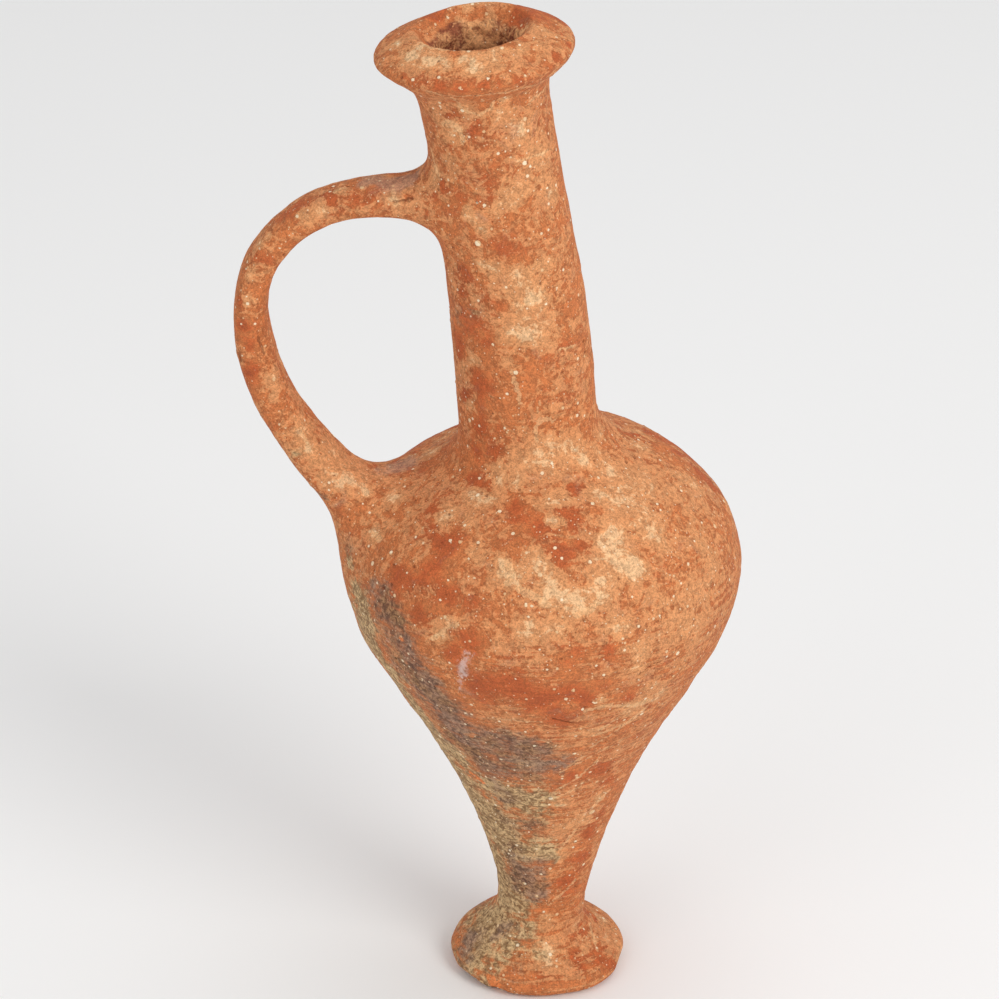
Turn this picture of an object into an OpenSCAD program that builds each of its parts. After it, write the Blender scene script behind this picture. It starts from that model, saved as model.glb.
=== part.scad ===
// One-handled pottery flask on a small pedestal foot.
// It is put together the way a potter puts it together: a turned foot, a thrown
// lower body, a domed shoulder, a slightly bent neck tube, a lip ring and a
// pulled strap handle, joined with rings and pads of luting clay.
// Millimetres. +Z is up, the origin is the centre of the resting face, the
// handle is on the -X side.

/* [Foot] */
// Widest diameter of the pedestal foot
foot_d = 39.6; // [34:0.2:46]
// Height of the foot disc up to the joint with the stem
foot_h = 11.5; // [9:0.5:12]
// Sideways offset of the body axis from the middle of the foot
body_off = 1.2; // [-2:0.1:2]

/* [Body] */
// Diameter of the stem where the body stands on the foot
stem_d = 19.6; // [17:0.2:23]
// Widest diameter of the belly
belly_d = 87.4; // [70:0.2:96]
// Height of the widest point of the belly
belly_z = 103; // [99:0.5:106]
// Wall thickness of the belly
wall = 5.4; // [4:0.1:7]

/* [Neck] */
// Outside diameter of the neck at the shoulder
neck_d = 31; // [28:0.2:34]
// Outside diameter of the neck just under the lip
neck_top_d = 27.6; // [26:0.2:31]
// Length of the neck from the shoulder to the lip
neck_len = 86; // [70:1:95]
// Lean of the neck where it leaves the shoulder, degrees
lean_base = 3.6; // [0:0.2:6]
// Lean of the neck just under the lip, degrees
lean_top = 10.4; // [0:0.2:12]
// Diameter of the passage through the lip
throat_d = 17; // [15:0.2:19]

/* [Lip] */
// Widest diameter of the lip
lip_d = 42; // [38:0.2:48]
// Height of the lip ring
lip_h = 11.4; // [9:0.2:13]
// Diameter of the mouth at the top edge
mouth_d = 24; // [22:0.2:27]
// Tilt of the lip from level, degrees
lip_tilt = 4.9; // [0:0.1:8]

/* [Handle] */
// Distance from the axis to the middle of the strap at its furthest point
reach = 61.4; // [58:0.2:66]
// Width of the strap at mid height
strap_w = 12.4; // [9:0.2:16]
// Thickness of the strap at mid height
strap_t = 7.7; // [6:0.1:9]

/* [Output] */
// Which piece to draw

/* [Hidden] */
$fn = 96;
clay = [0.74, 0.42, 0.27];
clay_dark = [0.66, 0.37, 0.25];

neck_r0 = neck_d / 2;
neck_r1 = neck_top_d / 2;
throat_r = throat_d / 2;
bore_r = throat_r + 0.6;          // passage radius at the foot of the neck
seat_z = 133.4;                   // level face that carries the neck
seat_x = body_off - 2.6;          // the neck stands a little to the handle side
spigot_r = 11.8;                  // short collar of the neck inside the shoulder
spigot_h = 4;
tenon_r = 6.2;                    // plug of the stem inside the foot
tenon_h = 4.5;
lap_h = 3;                        // stepped lap joint round the belly
lap_z = belly_z - 1;

// ---- smooth curve through control points [position, value] --------------------
function rise(P, i) = (P[i + 1][1] - P[i][1]) / (P[i + 1][0] - P[i][0]);
function gap(P, i) = P[i + 1][0] - P[i][0];
function slope(P, i) = let (n = len(P) - 1)
    i <= 0 ? rise(P, 0) :
    i >= n ? rise(P, n - 1) :
    let (a = rise(P, i - 1), b = rise(P, i), h = gap(P, i - 1), k = gap(P, i))
    a * b <= 0 ? 0 : (3 * h + 3 * k) / ((2 * k + h) / a + (k + 2 * h) / b);
function cell(P, x, i = 0) = (i >= len(P) - 2 || x <= P[i + 1][0]) ? i : cell(P, x, i + 1);
function curve(P, x) = let (i = cell(P, x), h = gap(P, i), t = (x - P[i][0]) / h,
    a = slope(P, i) * h, b = slope(P, i + 1) * h)
    P[i][1] * (1 + 2 * t) * pow(1 - t, 2) + a * t * pow(1 - t, 2)
    + P[i + 1][1] * t * t * (3 - 2 * t) - b * t * t * (1 - t);

// ---- outer wall of the body: radius against height ----------------------------
br = belly_d / 2;
sr = stem_d / 2;
OUT = [[foot_h, sr - 0.4], [16, sr - 0.1], [20, sr + 0.3], [24, sr + 1], [30, sr + 2.7],
       [40, sr + 6], [52, sr + 10.7], [66, br * 0.626], [80, br * 0.81], [92, br * 0.947],
       [belly_z, br], [113, br * 0.953], [122, br * 0.808], [128, br * 0.632],
       [131.5, br * 0.48], [seat_z, br * 0.41]];
// ---- inner wall: follows the outer one at the wall thickness -------------------
IN = [[27, 0.6], [30, 3.6], [40, sr + 6 - wall - 1], [52, sr + 10.7 - wall - 0.9],
      [66, br * 0.626 - wall - 0.8], [80, br * 0.81 - wall - 0.7],
      [92, br * 0.947 - wall - 0.3], [belly_z, br - wall], [111, br * 0.966 - wall - 0.6],
      [118, br * 0.886 - wall - 1.6], [123, br * 0.78 - wall - 2.4], [127, spigot_r]];

function along(P, z0, z1, n) = [for (i = [0:n]) let (z = z0 + (z1 - z0) * i / n) [curve(P, z), z]];

// ---- bent axis of the neck -----------------------------------------------------
function lean(s) = lean_base + (lean_top - lean_base) * s / neck_len;
// a circular arc, so both offsets have a closed form
turn = (lean_top - lean_base) / neck_len * PI / 180;     // radians per mm
function neck_x(s) = turn < 0.00001 ? seat_x - s * sin(lean_base)
    : seat_x - (cos(lean_base) - cos(lean(s))) / turn;
function neck_z(s) = turn < 0.00001 ? seat_z + s * cos(lean_base)
    : seat_z + (sin(lean(s)) - sin(lean_base)) / turn;
NECK_R = [[0, neck_r0], [8, neck_r0 - 0.2], [25, neck_r0 - 0.8], [45, neck_r0 - 1.2],
          [66, neck_r1 - 0.2], [80, neck_r1 - 0.1], [neck_len, neck_r1 + 0.4]];
BORE_R = [[0, bore_r], [40, bore_r - 0.2], [neck_len, throat_r]];
// the end rings lie in the seat plane and in the plane under the lip
function ring_tilt(v) = let (u = max(0, min(1, v))) lip_tilt * u * u * (3 - 2 * u);
function neck_ring(P, s, n) = let (a = ring_tilt(s / neck_len), r = curve(P, s))
    [for (j = [0:n - 1]) let (t = 360 * j / n)
        [neck_x(s) + r * cos(t) * cos(a), r * sin(t), neck_z(s) + r * cos(t) * sin(a)]];

// ---- solid swept through a list of rings ---------------------------------------
module skin(R) {
    n = len(R[0]);
    m = len(R);
    polyhedron(
        points = [for (r = R) each r],
        faces = concat(
            [[for (j = [0:n - 1]) j]],
            [[for (j = [n - 1:-1:0]) (m - 1) * n + j]],
            [for (i = [0:m - 2], j = [0:n - 1])
                each [[i * n + j, (i + 1) * n + (j + 1) % n, i * n + (j + 1) % n],
                      [i * n + j, (i + 1) * n + j, (i + 1) * n + (j + 1) % n]]]));
}

neck_n = 64;
neck_m = 12;
module neck_solid() {
    skin([for (i = [0:neck_m]) neck_ring(NECK_R, neck_len * i / neck_m, neck_n)]);
}
// the passage: it runs on down through the spigot and a little past the top
module neck_bore() {
    skin(concat(
        [[for (j = [0:neck_n - 1]) let (t = 360 * j / neck_n)
            [seat_x + bore_r * cos(t), bore_r * sin(t), seat_z - spigot_h - 2]]],
        [for (i = [0:neck_m]) let (s = neck_len * i / neck_m + (i == neck_m ? 1 : 0))
            neck_ring(BORE_R, s, neck_n)]));
}
// full outer shape of the shoulder, for coping what lands on it
module shoulder_solid() {
    translate([body_off, 0, 0]) rotate_extrude()
        polygon(concat([[0, lap_z]], along(OUT, lap_z, seat_z, 30), [[0, seat_z]]));
}

// ---- strap handle --------------------------------------------------------------
// points of its middle line: [x, z, thickness, width]
k = reach - 61.4;
HP = [[-9, 189.6, 9.4, 15.6], [-24, 191, 8.8, 13.6], [-38 - k / 2, 190.9, 8.2, 12.8],
      [-49.6 - k, 186.6, 7.9, 12.5], [-57.6 - k, 177.6, strap_t, strap_w],
      [-61.1 - k, 166.4, strap_t - 0.1, strap_w], [-60.7 - k, 155, strap_t + 0.1, strap_w],
      [-56.8 - k, 143.4, strap_t + 0.5, strap_w + 0.3], [-50.3 - k / 2, 132.4, 8.8, 13.2],
      [-42.6, 122.8, 9.9, 14.6], [-31, 112, 11.4, 16.6]];
function hp(i) = HP[max(0, min(len(HP) - 1, i))];
function cr(a, b, c, d, t) = 0.5 * (2 * b + (c - a) * t + (2 * a - 5 * b + 4 * c - d) * t * t
    + (3 * b - a - 3 * c + d) * t * t * t);
function hq(u) = let (i = min(floor(u), len(HP) - 2), t = u - i) cr(hp(i - 1), hp(i), hp(i + 1), hp(i + 2), t);
function hdir(u) = let (a = hq(max(0, u - 0.05)), b = hq(min(len(HP) - 1, u + 0.05)))
    atan2(b[1] - a[1], b[0] - a[0]);
function sgnpow(v, e) = sign(v) * pow(abs(v), e);
strap_n = 28;
// ring of the strap at u, grown by g on its outer and inner faces and by w at its edges
function strap_ring(u, g = [0, 0, 0]) = let (q = hq(u), a = hdir(u))
    [for (j = [0:strap_n - 1]) let (t = 360 * j / strap_n,
        d = (q[2] / 2 + (cos(t) > 0 ? g[0] : g[1])) * sgnpow(cos(t), 0.86),
        w = (q[3] / 2 + g[2]) * sgnpow(sin(t), 0.86))
        [q[0] - d * sin(a), -w, q[1] + d * cos(a)]];
module strap() {
    skin([for (i = [0:36]) strap_ring(10 * i / 36)]);
}
// flared pad of clay round one end of the strap: thin at u0, grown by g at u1
thin = 0.35;
module flare(u0, u1, g) {
    rings = [for (i = [0:8]) let (t = i / 8) strap_ring(u0 + (u1 - u0) * t,
        [for (c = g) thin + (c - thin) * pow(t, 2.2)])];
    skin(u1 > u0 ? rings : [for (i = [8:-1:0]) rings[i]]);
}

// ---- the pieces ----------------------------------------------------------------
module foot() {
    fr = foot_d / 2;
    F = [[1.2, fr - 0.7], [3.2, fr], [5.4, fr - 0.9], [7.4, fr - 2.9], [9.4, fr - 5.8], [foot_h, sr + 1]];
    color(clay) rotate_extrude() difference() {
        polygon(concat([[0, 0], [fr - 1.9, 0]], along(F, 1.2, foot_h, 16), [[0, foot_h]]));
        translate([0, foot_h - tenon_h]) square([tenon_r, tenon_h]);
    }
}

module foot_lute() {
    fr = foot_d / 2;
    // a ring of soft clay pressed into the corner between the foot and the stem
    L = [[foot_h - 2.6, fr - 4.5], [foot_h - 1, sr + 4.2], [foot_h + 1, sr + 2], [foot_h + 3, sr + 0.9],
         [foot_h + 6, sr + 0.5], [foot_h + 8, sr + 0.6]];
    color(clay_dark) difference() {
        translate([body_off / 2, 0, 0]) rotate_extrude()
            polygon(concat([[0, foot_h - 2.6]], along(L, foot_h - 2.6, foot_h + 8, 16), [[0, foot_h + 8]]));
        foot_blank();
        body_blank();
    }
}

module foot_blank() {
    fr = foot_d / 2;
    F = [[1.2, fr - 0.7], [3.2, fr], [5.4, fr - 0.9], [7.4, fr - 2.9], [9.4, fr - 5.8], [foot_h, sr + 1]];
    rotate_extrude()
        polygon(concat([[0, 0], [fr - 1.9, 0]], along(F, 1.2, foot_h, 16), [[0, foot_h]]));
}
module body_blank() {
    translate([body_off, 0, 0]) rotate_extrude()
        polygon(concat([[0, foot_h]], along(OUT, foot_h, 40, 12), [[0, 40]]));
}

module lower_body() {
    mid = br - wall / 2;
    color(clay) {
        translate([body_off, 0, 0]) rotate_extrude()
            polygon(concat([[0, foot_h]], along(OUT, foot_h, lap_z, 40),
                [[mid, lap_z], [mid, lap_z + lap_h]], [for (i = [0:30])
                    let (z = lap_z + lap_h + (27 - lap_z - lap_h) * i / 30) [curve(IN, z), z]], [[0, 26.4]]));
        translate([0, 0, foot_h - tenon_h]) cylinder(r = tenon_r, h = tenon_h);
    }
}

module shoulder() {
    mid = br - wall / 2;
    color(clay) difference() {
        translate([body_off, 0, 0]) rotate_extrude()
            polygon(concat([[mid, lap_z + lap_h], [mid, lap_z]], along(OUT, lap_z, seat_z, 30),
                [[spigot_r - 4, seat_z], [spigot_r - 4, 127]],
                [for (i = [0:14]) let (z = 127 + (lap_z + lap_h - 127) * i / 14) [curve(IN, z), z]]));
        translate([seat_x, 0, 110]) cylinder(r = spigot_r, h = 40);
    }
}

module neck_lute() {
    // a coil pressed round the foot of the neck
    L = [[-6.2, neck_r0 + 9.6], [-3, neck_r0 + 5.6], [0, neck_r0 + 2.8],
         [3.4, neck_r0 + 1], [7.5, neck_r0 + 0.25]];
    color(clay_dark) difference() {
        translate([seat_x, 0, seat_z]) rotate([0, -lean_base, 0]) rotate_extrude()
            polygon(concat([[4, -6.2]], along(L, -6.2, 7.5, 14), [[4, 7.5]]));
        shoulder_solid();
        neck_solid();
        translate([seat_x, 0, seat_z - 12]) cylinder(r = spigot_r, h = 12);
    }
}

module neck() {
    color(clay) difference() {
        union() {
            neck_solid();
            translate([seat_x, 0, seat_z - spigot_h]) cylinder(r = spigot_r, h = spigot_h);
        }
        neck_bore();
    }
}

module lip() {
    lr = lip_d / 2;
    mr = mouth_d / 2;
    A = [[0, neck_r1 + 1], [1.6, lr - 4.9], [3.6, lr - 2.3], [5.6, lr - 0.3], [6.4, lr], [7.2, lr - 0.6],
         [8.6, lr - 2.9], [10.2, lr - 5.9], [lip_h - 0.4, mr + 1.4]];
    color(clay) translate([neck_x(neck_len), 0, neck_z(neck_len)]) rotate([0, -lip_tilt, 0])
        rotate_extrude() polygon(concat([[throat_r, 0]], along(A, 0, lip_h - 0.4, 20),
            [[mr + 0.7, lip_h], [mr, lip_h - 0.1], [mr - 1, lip_h - 0.9], [mr - 2.4, lip_h - 2.6],
             [throat_r + 0.3, lip_h - 4.4], [throat_r, lip_h - 5.2]]));
}

module handle() {
    color(clay) difference() {
        strap();
        neck_solid();
        shoulder_solid();
        lower_blank();
    }
}
// the top of the lower body, for coping the foot of the handle
module lower_blank() {
    translate([body_off, 0, 0]) rotate_extrude()
        polygon(concat([[0, 90]], along(OUT, 90, lap_z, 6), [[0, lap_z]]));
}

module handle_upper_lute() {
    color(clay_dark) difference() {
        flare(1.8, 0.5, [3.6, 7, 2.6]);
        strap();
        neck_solid();
    }
}

module handle_lower_lute() {
    color(clay_dark) difference() {
        flare(8, 9.8, [3.4, 5, 4.2]);
        strap();
        shoulder_solid();
        lower_blank();
    }
}

foot();
foot_lute();
lower_body();
shoulder();
neck_lute();
neck();
lip();
handle();
handle_upper_lute();
handle_lower_lute();
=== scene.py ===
import bpy
import math
from mathutils import Matrix, Vector
from mathutils.kdtree import KDTree


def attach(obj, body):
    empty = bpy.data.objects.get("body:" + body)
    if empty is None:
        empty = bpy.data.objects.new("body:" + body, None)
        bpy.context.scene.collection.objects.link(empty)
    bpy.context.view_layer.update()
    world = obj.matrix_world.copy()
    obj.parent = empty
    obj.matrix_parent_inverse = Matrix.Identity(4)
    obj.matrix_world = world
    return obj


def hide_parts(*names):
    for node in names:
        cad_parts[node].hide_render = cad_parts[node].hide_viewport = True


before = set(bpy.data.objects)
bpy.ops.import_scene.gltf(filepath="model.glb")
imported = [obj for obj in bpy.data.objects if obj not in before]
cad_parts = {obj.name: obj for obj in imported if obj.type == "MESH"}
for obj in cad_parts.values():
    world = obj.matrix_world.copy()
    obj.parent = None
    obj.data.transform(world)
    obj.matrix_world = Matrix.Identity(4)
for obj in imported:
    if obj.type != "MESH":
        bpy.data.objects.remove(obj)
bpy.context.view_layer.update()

import openvdb

ROOT = "root"

# A hand-made earthenware flask. The whole outer surface is worked out once as a
# signed distance in millimetres, meshed, given its small relief, then parted
# along the clay joints into one closed piece for each CAD node.

import numpy as np

F32 = np.float32

# ---------------------------------------------------------------- curves, mm
def pchip(xs, ys, q):
    xs = np.asarray(xs, float); ys = np.asarray(ys, float); q = np.asarray(q, float)
    h = np.diff(xs); d = np.diff(ys) / h
    m = np.zeros_like(xs)
    m[0], m[-1] = d[0], d[-1]
    same = d[:-1] * d[1:] > 0
    w1, w2 = 2 * h[1:] + h[:-1], h[1:] + 2 * h[:-1]
    with np.errstate(divide="ignore", invalid="ignore"):
        hm = (w1 + w2) / (w1 / d[:-1] + w2 / d[1:])
    m[1:-1] = np.where(same, hm, 0.0)
    i = np.clip(np.searchsorted(xs, q) - 1, 0, len(xs) - 2)
    t = np.clip((q - xs[i]) / h[i], 0, 1)
    return (ys[i] * (1 + 2 * t) * (1 - t) ** 2 + m[i] * h[i] * t * (1 - t) ** 2
            + ys[i + 1] * t * t * (3 - 2 * t) - m[i + 1] * h[i] * t * t * (1 - t))

def smooth(a, b, x):
    t = np.clip((x - a) / (b - a), 0, 1)
    return t * t * (3 - 2 * t)

class Lut:
    """Values on a regular 2-D grid, read back with bilinear interpolation."""
    def __init__(self, x0, x1, y0, y1, h, fn):
        self.x0, self.y0, self.h = x0, y0, h
        xs = np.arange(x0, x1 + h * 0.5, h); ys = np.arange(y0, y1 + h * 0.5, h)
        self.nx, self.ny = len(xs), len(ys)
        X, Y = np.meshgrid(xs, ys, indexing="ij")
        self.t = [np.ascontiguousarray(a.astype(F32)) for a in fn(X, Y)]
    def __call__(self, X, Y, *which):
        u = np.clip((X - F32(self.x0)) / F32(self.h), 0, self.nx - 1.001).astype(F32)
        v = np.clip((Y - F32(self.y0)) / F32(self.h), 0, self.ny - 1.001).astype(F32)
        i = u.astype(np.int32); j = v.astype(np.int32)
        u -= i; v -= j
        k = i * self.ny + j
        out = []
        for w in (which or range(len(self.t))):
            t = self.t[w].ravel()
            a = t[k] * (1 - v) + t[k + 1] * v
            b = t[k + self.ny] * (1 - v) + t[k + self.ny + 1] * v
            out.append(a * (1 - u) + b * u)
        return out if len(out) > 1 else out[0]

def poly_sdf(poly):
    """Signed distance to a closed polygon, negative inside."""
    A = np.asarray(poly, float); B = np.roll(A, -1, axis=0)
    def fn(X, Y):
        best = np.full(X.shape, 1e9); inside = np.zeros(X.shape, bool)
        for (ax, ay), (bx, by) in zip(A, B):
            ex, ey = bx - ax, by - ay
            L = ex * ex + ey * ey
            if L < 1e-12:
                continue
            t = np.clip(((X - ax) * ex + (Y - ay) * ey) / L, 0, 1)
            best = np.minimum(best, (X - ax - t * ex) ** 2 + (Y - ay - t * ey) ** 2)
            c = (ay > Y) != (by > Y)
            with np.errstate(divide="ignore", invalid="ignore"):
                inside ^= c & (X < (bx - ax) * (Y - ay) / (by - ay if by != ay else 1e-12) + ax)
        d = np.sqrt(best)
        return (np.where(inside, -d, d),)
    return fn

def smin(a, b, k):
    h = np.maximum(k - np.abs(a - b), 0) / k
    return np.minimum(a, b) - h * h * k * F32(0.25)

def smax(a, b, k):
    return -smin(-a, -b, k)

# ---------------------------------------------------------------- noise
def _hash(i, j, k, seed):
    h = (i.astype(np.uint32) * np.uint32(374761393) + j.astype(np.uint32) * np.uint32(668265263)
         + k.astype(np.uint32) * np.uint32(2147483647) + np.uint32(seed * 974634777 & 0xFFFFFFFF))
    h = (h ^ (h >> np.uint32(13))) * np.uint32(1274126177)
    h = (h ^ (h >> np.uint32(16))) * np.uint32(2246822519)
    h ^= h >> np.uint32(15)
    return h

def vnoise(P, scale, seed=0):
    """Smooth value noise in -1..1; P in mm, scale = feature size in mm."""
    Q = P / F32(scale)
    I = np.floor(Q).astype(np.int32)
    f = (Q - I).astype(F32)
    f = f * f * f * (f * (f * 6 - 15) + 10)
    r = 0
    for a in (0, 1):
        wa = f[:, 0] if a else 1 - f[:, 0]
        for b in (0, 1):
            wb = f[:, 1] if b else 1 - f[:, 1]
            for c in (0, 1):
                wc = f[:, 2] if c else 1 - f[:, 2]
                h = _hash(I[:, 0] + a, I[:, 1] + b, I[:, 2] + c, seed)
                r = r + wa * wb * wc * (h.astype(F32) * F32(2 / 4294967295.0) - 1)
    return r

def fbm(P, scale, octaves=3, seed=0, gain=0.5):
    r, a, s, n = 0, 1.0, scale, 0
    for o in range(octaves):
        r = r + a * vnoise(P + F32(17.3 * o), s, seed + 11 * o)
        n += a; a *= gain; s *= 0.5
    return r / n

# ---------------------------------------------------------------- the shape
BX = 1.2                                # the body stands a little off the foot's middle
def bx(z):
    return BX * smooth(7.0, 25.0, z) + 0.35 * np.exp(-((z - 42) / 13) ** 2)

BODY = [(0, 17.3), (0.5, 18.4), (1.4, 19.5), (2.7, 20.0), (4.2, 19.3), (5.9, 17.3), (8.0, 14.5),
        (9.9, 12.4), (12.0, 10.9), (15, 10.1), (17.5, 9.95), (20, 10.2), (24, 10.9), (30, 12.5), (40, 15.8),
        (52, 20.5), (66, 27.4), (80, 35.4), (92, 41.4), (103, 43.7), (113, 41.7), (122, 35.4), (128, 27.8),
        (131.5, 21.0), (134.4, 15.2), (136.4, 9.5), (137.4, 3.0)]
_z = np.concatenate([np.arange(0, 12, 0.25), np.arange(12, 125, 0.75), np.arange(125, 137.41, 0.25)])
_r = pchip([p[0] for p in BODY], [p[1] for p in BODY], _z)
body_poly = [(-40, 0)] + list(zip(_r, _z)) + [(-40, 137.4)]
L_BODY = Lut(0, 70, -6, 150, 0.5, poly_sdf(body_poly))

CAV = [(26, 0.3), (30, 3.6), (40, 9.1), (52, 13.9), (66, 21.1), (80, 29.2), (92, 35.5), (103, 38.3),
       (111, 36.2), (118, 31.3), (123, 25.0), (127, 16.5), (129.5, 10.0)]
_z = np.arange(26, 129.6, 0.75)
_r = pchip([p[0] for p in CAV], [p[1] for p in CAV], _z)
L_CAV = Lut(0, 70, 10, 150, 0.5, poly_sdf([(-40, 26)] + list(zip(_r, _z)) + [(-40, 129.5)]))

# neck: bent axis, read by height
SEAT_X, SEAT_Z, NECK_L = -1.4, 133.4, 86.0
A0, A1 = 3.6, 10.4
_s = np.linspace(-12, 90, 205)
_a = np.radians(A0 + (A1 - A0) * _s / NECK_L)
_k = np.radians(A1 - A0) / NECK_L
NX = SEAT_X - (np.cos(np.radians(A0)) - np.cos(_a)) / _k + 0.2 * smooth(12, 26, _s) * (1 - smooth(42, 62, _s)) + 0.3 * smooth(74, 86, _s)
NZ = SEAT_Z + (np.sin(_a) - np.sin(np.radians(A0))) / _k
NR = pchip([-12, 0, 8, 25, 45, 66, 80, 86, 90], [15.6, 15.5, 15.3, 15.0, 14.5, 13.6, 13.7, 14.2, 14.5], _s)
BR = pchip([-12, 0, 40, 86, 90], [9.1, 9.1, 8.9, 8.5, 8.5], _s)
def neck_at(z):
    return np.interp(z, NZ, NX), np.interp(z, NZ, NR), np.interp(z, NZ, BR)

# lip: a ring on its own axis
TILT = np.radians(4.9)
TX = float(np.interp(NECK_L, _s, NX)) - 0.3; TZ = float(np.interp(NECK_L, _s, NZ))
LIP_OUT = [(0, 14.2), (0.8, 15.2), (1.9, 16.9), (3.5, 18.9), (5.1, 20.4), (6.2, 21.0), (7.2, 20.4), (8.6, 18.3), (10.0, 15.7), (11.0, 13.7)]
_z = np.linspace(0, 11.0, 45)
_r = pchip([p[0] for p in LIP_OUT], [p[1] for p in LIP_OUT], _z)
L_LIP = Lut(0, 70, -20, 40, 0.25, poly_sdf([(-40, -4), (11.5, -4), (13.2, -1.4)] + list(zip(_r, _z)) + [(12.9, 11.35), (-40, 11.4)]))
FUN = [(-2, 8.5), (3.5, 8.5), (6.6, 8.7), (7.9, 9.1), (9.3, 10.6), (10.4, 11.4), (11.3, 12.3), (12.2, 13.6), (14, 17)]
_z = np.linspace(-2, 14, 65)
_r = pchip([p[0] for p in FUN], [p[1] for p in FUN], _z)
L_FUN = Lut(0, 70, -20, 40, 0.25, poly_sdf([(-40, -2)] + list(zip(_r, _z)) + [(-40, 14)]))

# handle: strap on a curve in the XZ plane [x, z, thickness, width]
HP = np.array([(-9, 189.6, 9.0, 14.6), (-24, 191.15, 8.3, 13.4), (-38, 190.6, 7.0, 11.2), (-49.3, 186.4, 6.5, 10.8),
      (-58.2, 177.3, 7.0, 11.2), (-61.5, 166.4, 7.3, 11.8), (-60.7, 155.0, 7.8, 12.4), (-56.8, 143.4, 8.2, 12.7),
      (-50.4, 132.5, 9.1, 13.2), (-42.8, 122.8, 10.1, 14.4), (-32, 111.2, 12.0, 16.6)])
def catmull(P, u):
    n = len(P); i = np.clip(u.astype(int), 0, n - 2); t = (u - i)[:, None]
    g = lambda k: P[np.clip(k, 0, n - 1)]
    a, b, c, d = g(i - 1), g(i), g(i + 1), g(i + 2)
    return 0.5 * (2 * b + (c - a) * t + (2 * a - 5 * b + 4 * c - d) * t * t + (3 * b - a - 3 * c + d) * t ** 3)
_u = np.linspace(0, 10, 401)
HC = catmull(HP, _u)
HT = np.gradient(HC[:, :2], axis=0); HT /= np.linalg.norm(HT, axis=1)[:, None]
def _near(X, Y):
    best = np.full(X.shape, 1e9); idx = np.zeros(X.shape, np.int32)
    for i in range(0, 401, 2):
        d = (X - HC[i, 0]) ** 2 + (Y - HC[i, 1]) ** 2
        m = d < best
        best[m] = d[m]; idx[m] = i
    # refine along the tangent
    t = HT[idx]; c = HC[idx]
    dx, dz = X - c[..., 0], Y - c[..., 1]
    al = dx * t[..., 0] + dz * t[..., 1]
    seg = np.linalg.norm(np.gradient(HC[:, :2], axis=0), axis=1)[idx]
    uf = np.clip(idx + np.clip(al / seg, -2, 2), 0, 400)
    nn = -dx * t[..., 1] + dz * t[..., 0]          # + on the outer side
    over = np.where((idx <= 0) & (al < 0), -al, np.where((idx >= 400) & (al > 0), al, 0))
    return uf / 40.0, nn, over
L_HAN = Lut(-76, 4, 96, 206, 0.5, _near)

def f_handle(P):
    u, nn, over = L_HAN(P[:, 0], P[:, 2])
    th = np.interp(u, _u, HC[:, 2]).astype(F32); wd = np.interp(u, _u, HC[:, 3]).astype(F32)
    a, b = th * 0.5, wd * 0.5
    p = F32(2.8)
    A = np.abs(nn) / a; B = np.abs(P[:, 1]) / b
    g = (A ** p + B ** p + F32(1e-6)) ** (1 / p)
    ga = A ** (p - 1) * g ** (1 - p) / a; gb = B ** (p - 1) * g ** (1 - p) / b
    f = (g - 1) / np.maximum(np.sqrt(ga * ga + gb * gb), F32(0.06))
    return np.where(over > 0, np.maximum(f, over), f), u, nn

CT, ST = np.cos(TILT), np.sin(TILT)
def lip_frame(P):
    dx, dz = P[:, 0] - F32(TX), P[:, 2] - F32(TZ)
    s = -dx * F32(ST) + dz * F32(CT)
    a = dx * F32(CT) + dz * F32(ST)
    return np.sqrt(a * a + P[:, 1] ** 2), s

def parts(P):
    """outer shape, handle param, cavity"""
    P = P.astype(F32)
    x, y, z = P[:, 0], P[:, 1], P[:, 2]
    xb = x - bx(z).astype(F32)
    rr = np.hypot(xb, y)
    # the foot slopes more on +X, and the dome sits lower under the handle
    rr = rr + xb * (np.where(xb > 0, F32(0.15), F32(0.075)) * (smooth(3.5, 7.5, z) * (1 - smooth(9.5, 15, z)))).astype(F32)
    rr = rr + (F32(0.5) * smooth(8, 18, xb) * (1 - smooth(4, 12, z)) - F32(1.1) * smooth(5, 14, xb) * smooth(4, 12, -y) * (1 - smooth(1.5, 5, z))).astype(F32)
    zz = z + F32(0.22) * smooth(116, 124, z).astype(F32) + F32(1.5) * (1 - smooth(-15, 2, x)).astype(F32) * (smooth(110, 122, z)).astype(F32)
    fb = L_BODY(rr, zz)
    cx, rn, rb = (a.astype(F32) for a in neck_at(z))
    rho = np.hypot(x - cx, y)
    fn = np.maximum((rho - rn) * F32(0.992), F32(126) - z)
    rl, s = lip_frame(P)
    ro = rl - (smooth(8, 19, F32(TX) - x) * (0.85 * smooth(4.5, 7.0, s) - 0.55 * (1 - smooth(2.8, 5.2, s)))).astype(F32)       # the lip is a little wider over the handle
    fn = np.maximum(fn, s - 2)
    fl = L_LIP(ro, s)
    f = smin(fb, fn, F32(6.5))
    f = smin(f, fl, F32(2.4))
    fh, u, nn = f_handle(P)
    f = smin(f, fh, (F32(9.0) + F32(3.5) * (1 - smooth(126, 142, z))).astype(F32))
    # inside
    c = L_CAV(np.hypot(x - F32(BX), y), z)
    cn = np.maximum(np.maximum((rho - rb) * F32(0.992), F32(118) - z), s - 1)
    c = smin(c, cn, F32(5))
    c = smin(c, L_FUN(rl, s), F32(0.8))
    return f, c, fh, u, nn

def warp(P):
    """slow unevenness of a hand-made pot: where a point is looked up"""
    w = np.stack([vnoise(P, 34, 3) * 0.30, vnoise(P, 34, 5) * 0.30, vnoise(P, 40, 7) * 0.25], -1)
    w *= smooth(0, 12, P[:, 2])[:, None]
    return (P + w).astype(F32)

def sdf(P):
    Q = warp(P)
    f, c, _, _, _ = parts(Q)
    return np.maximum(f, -c)
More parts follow.
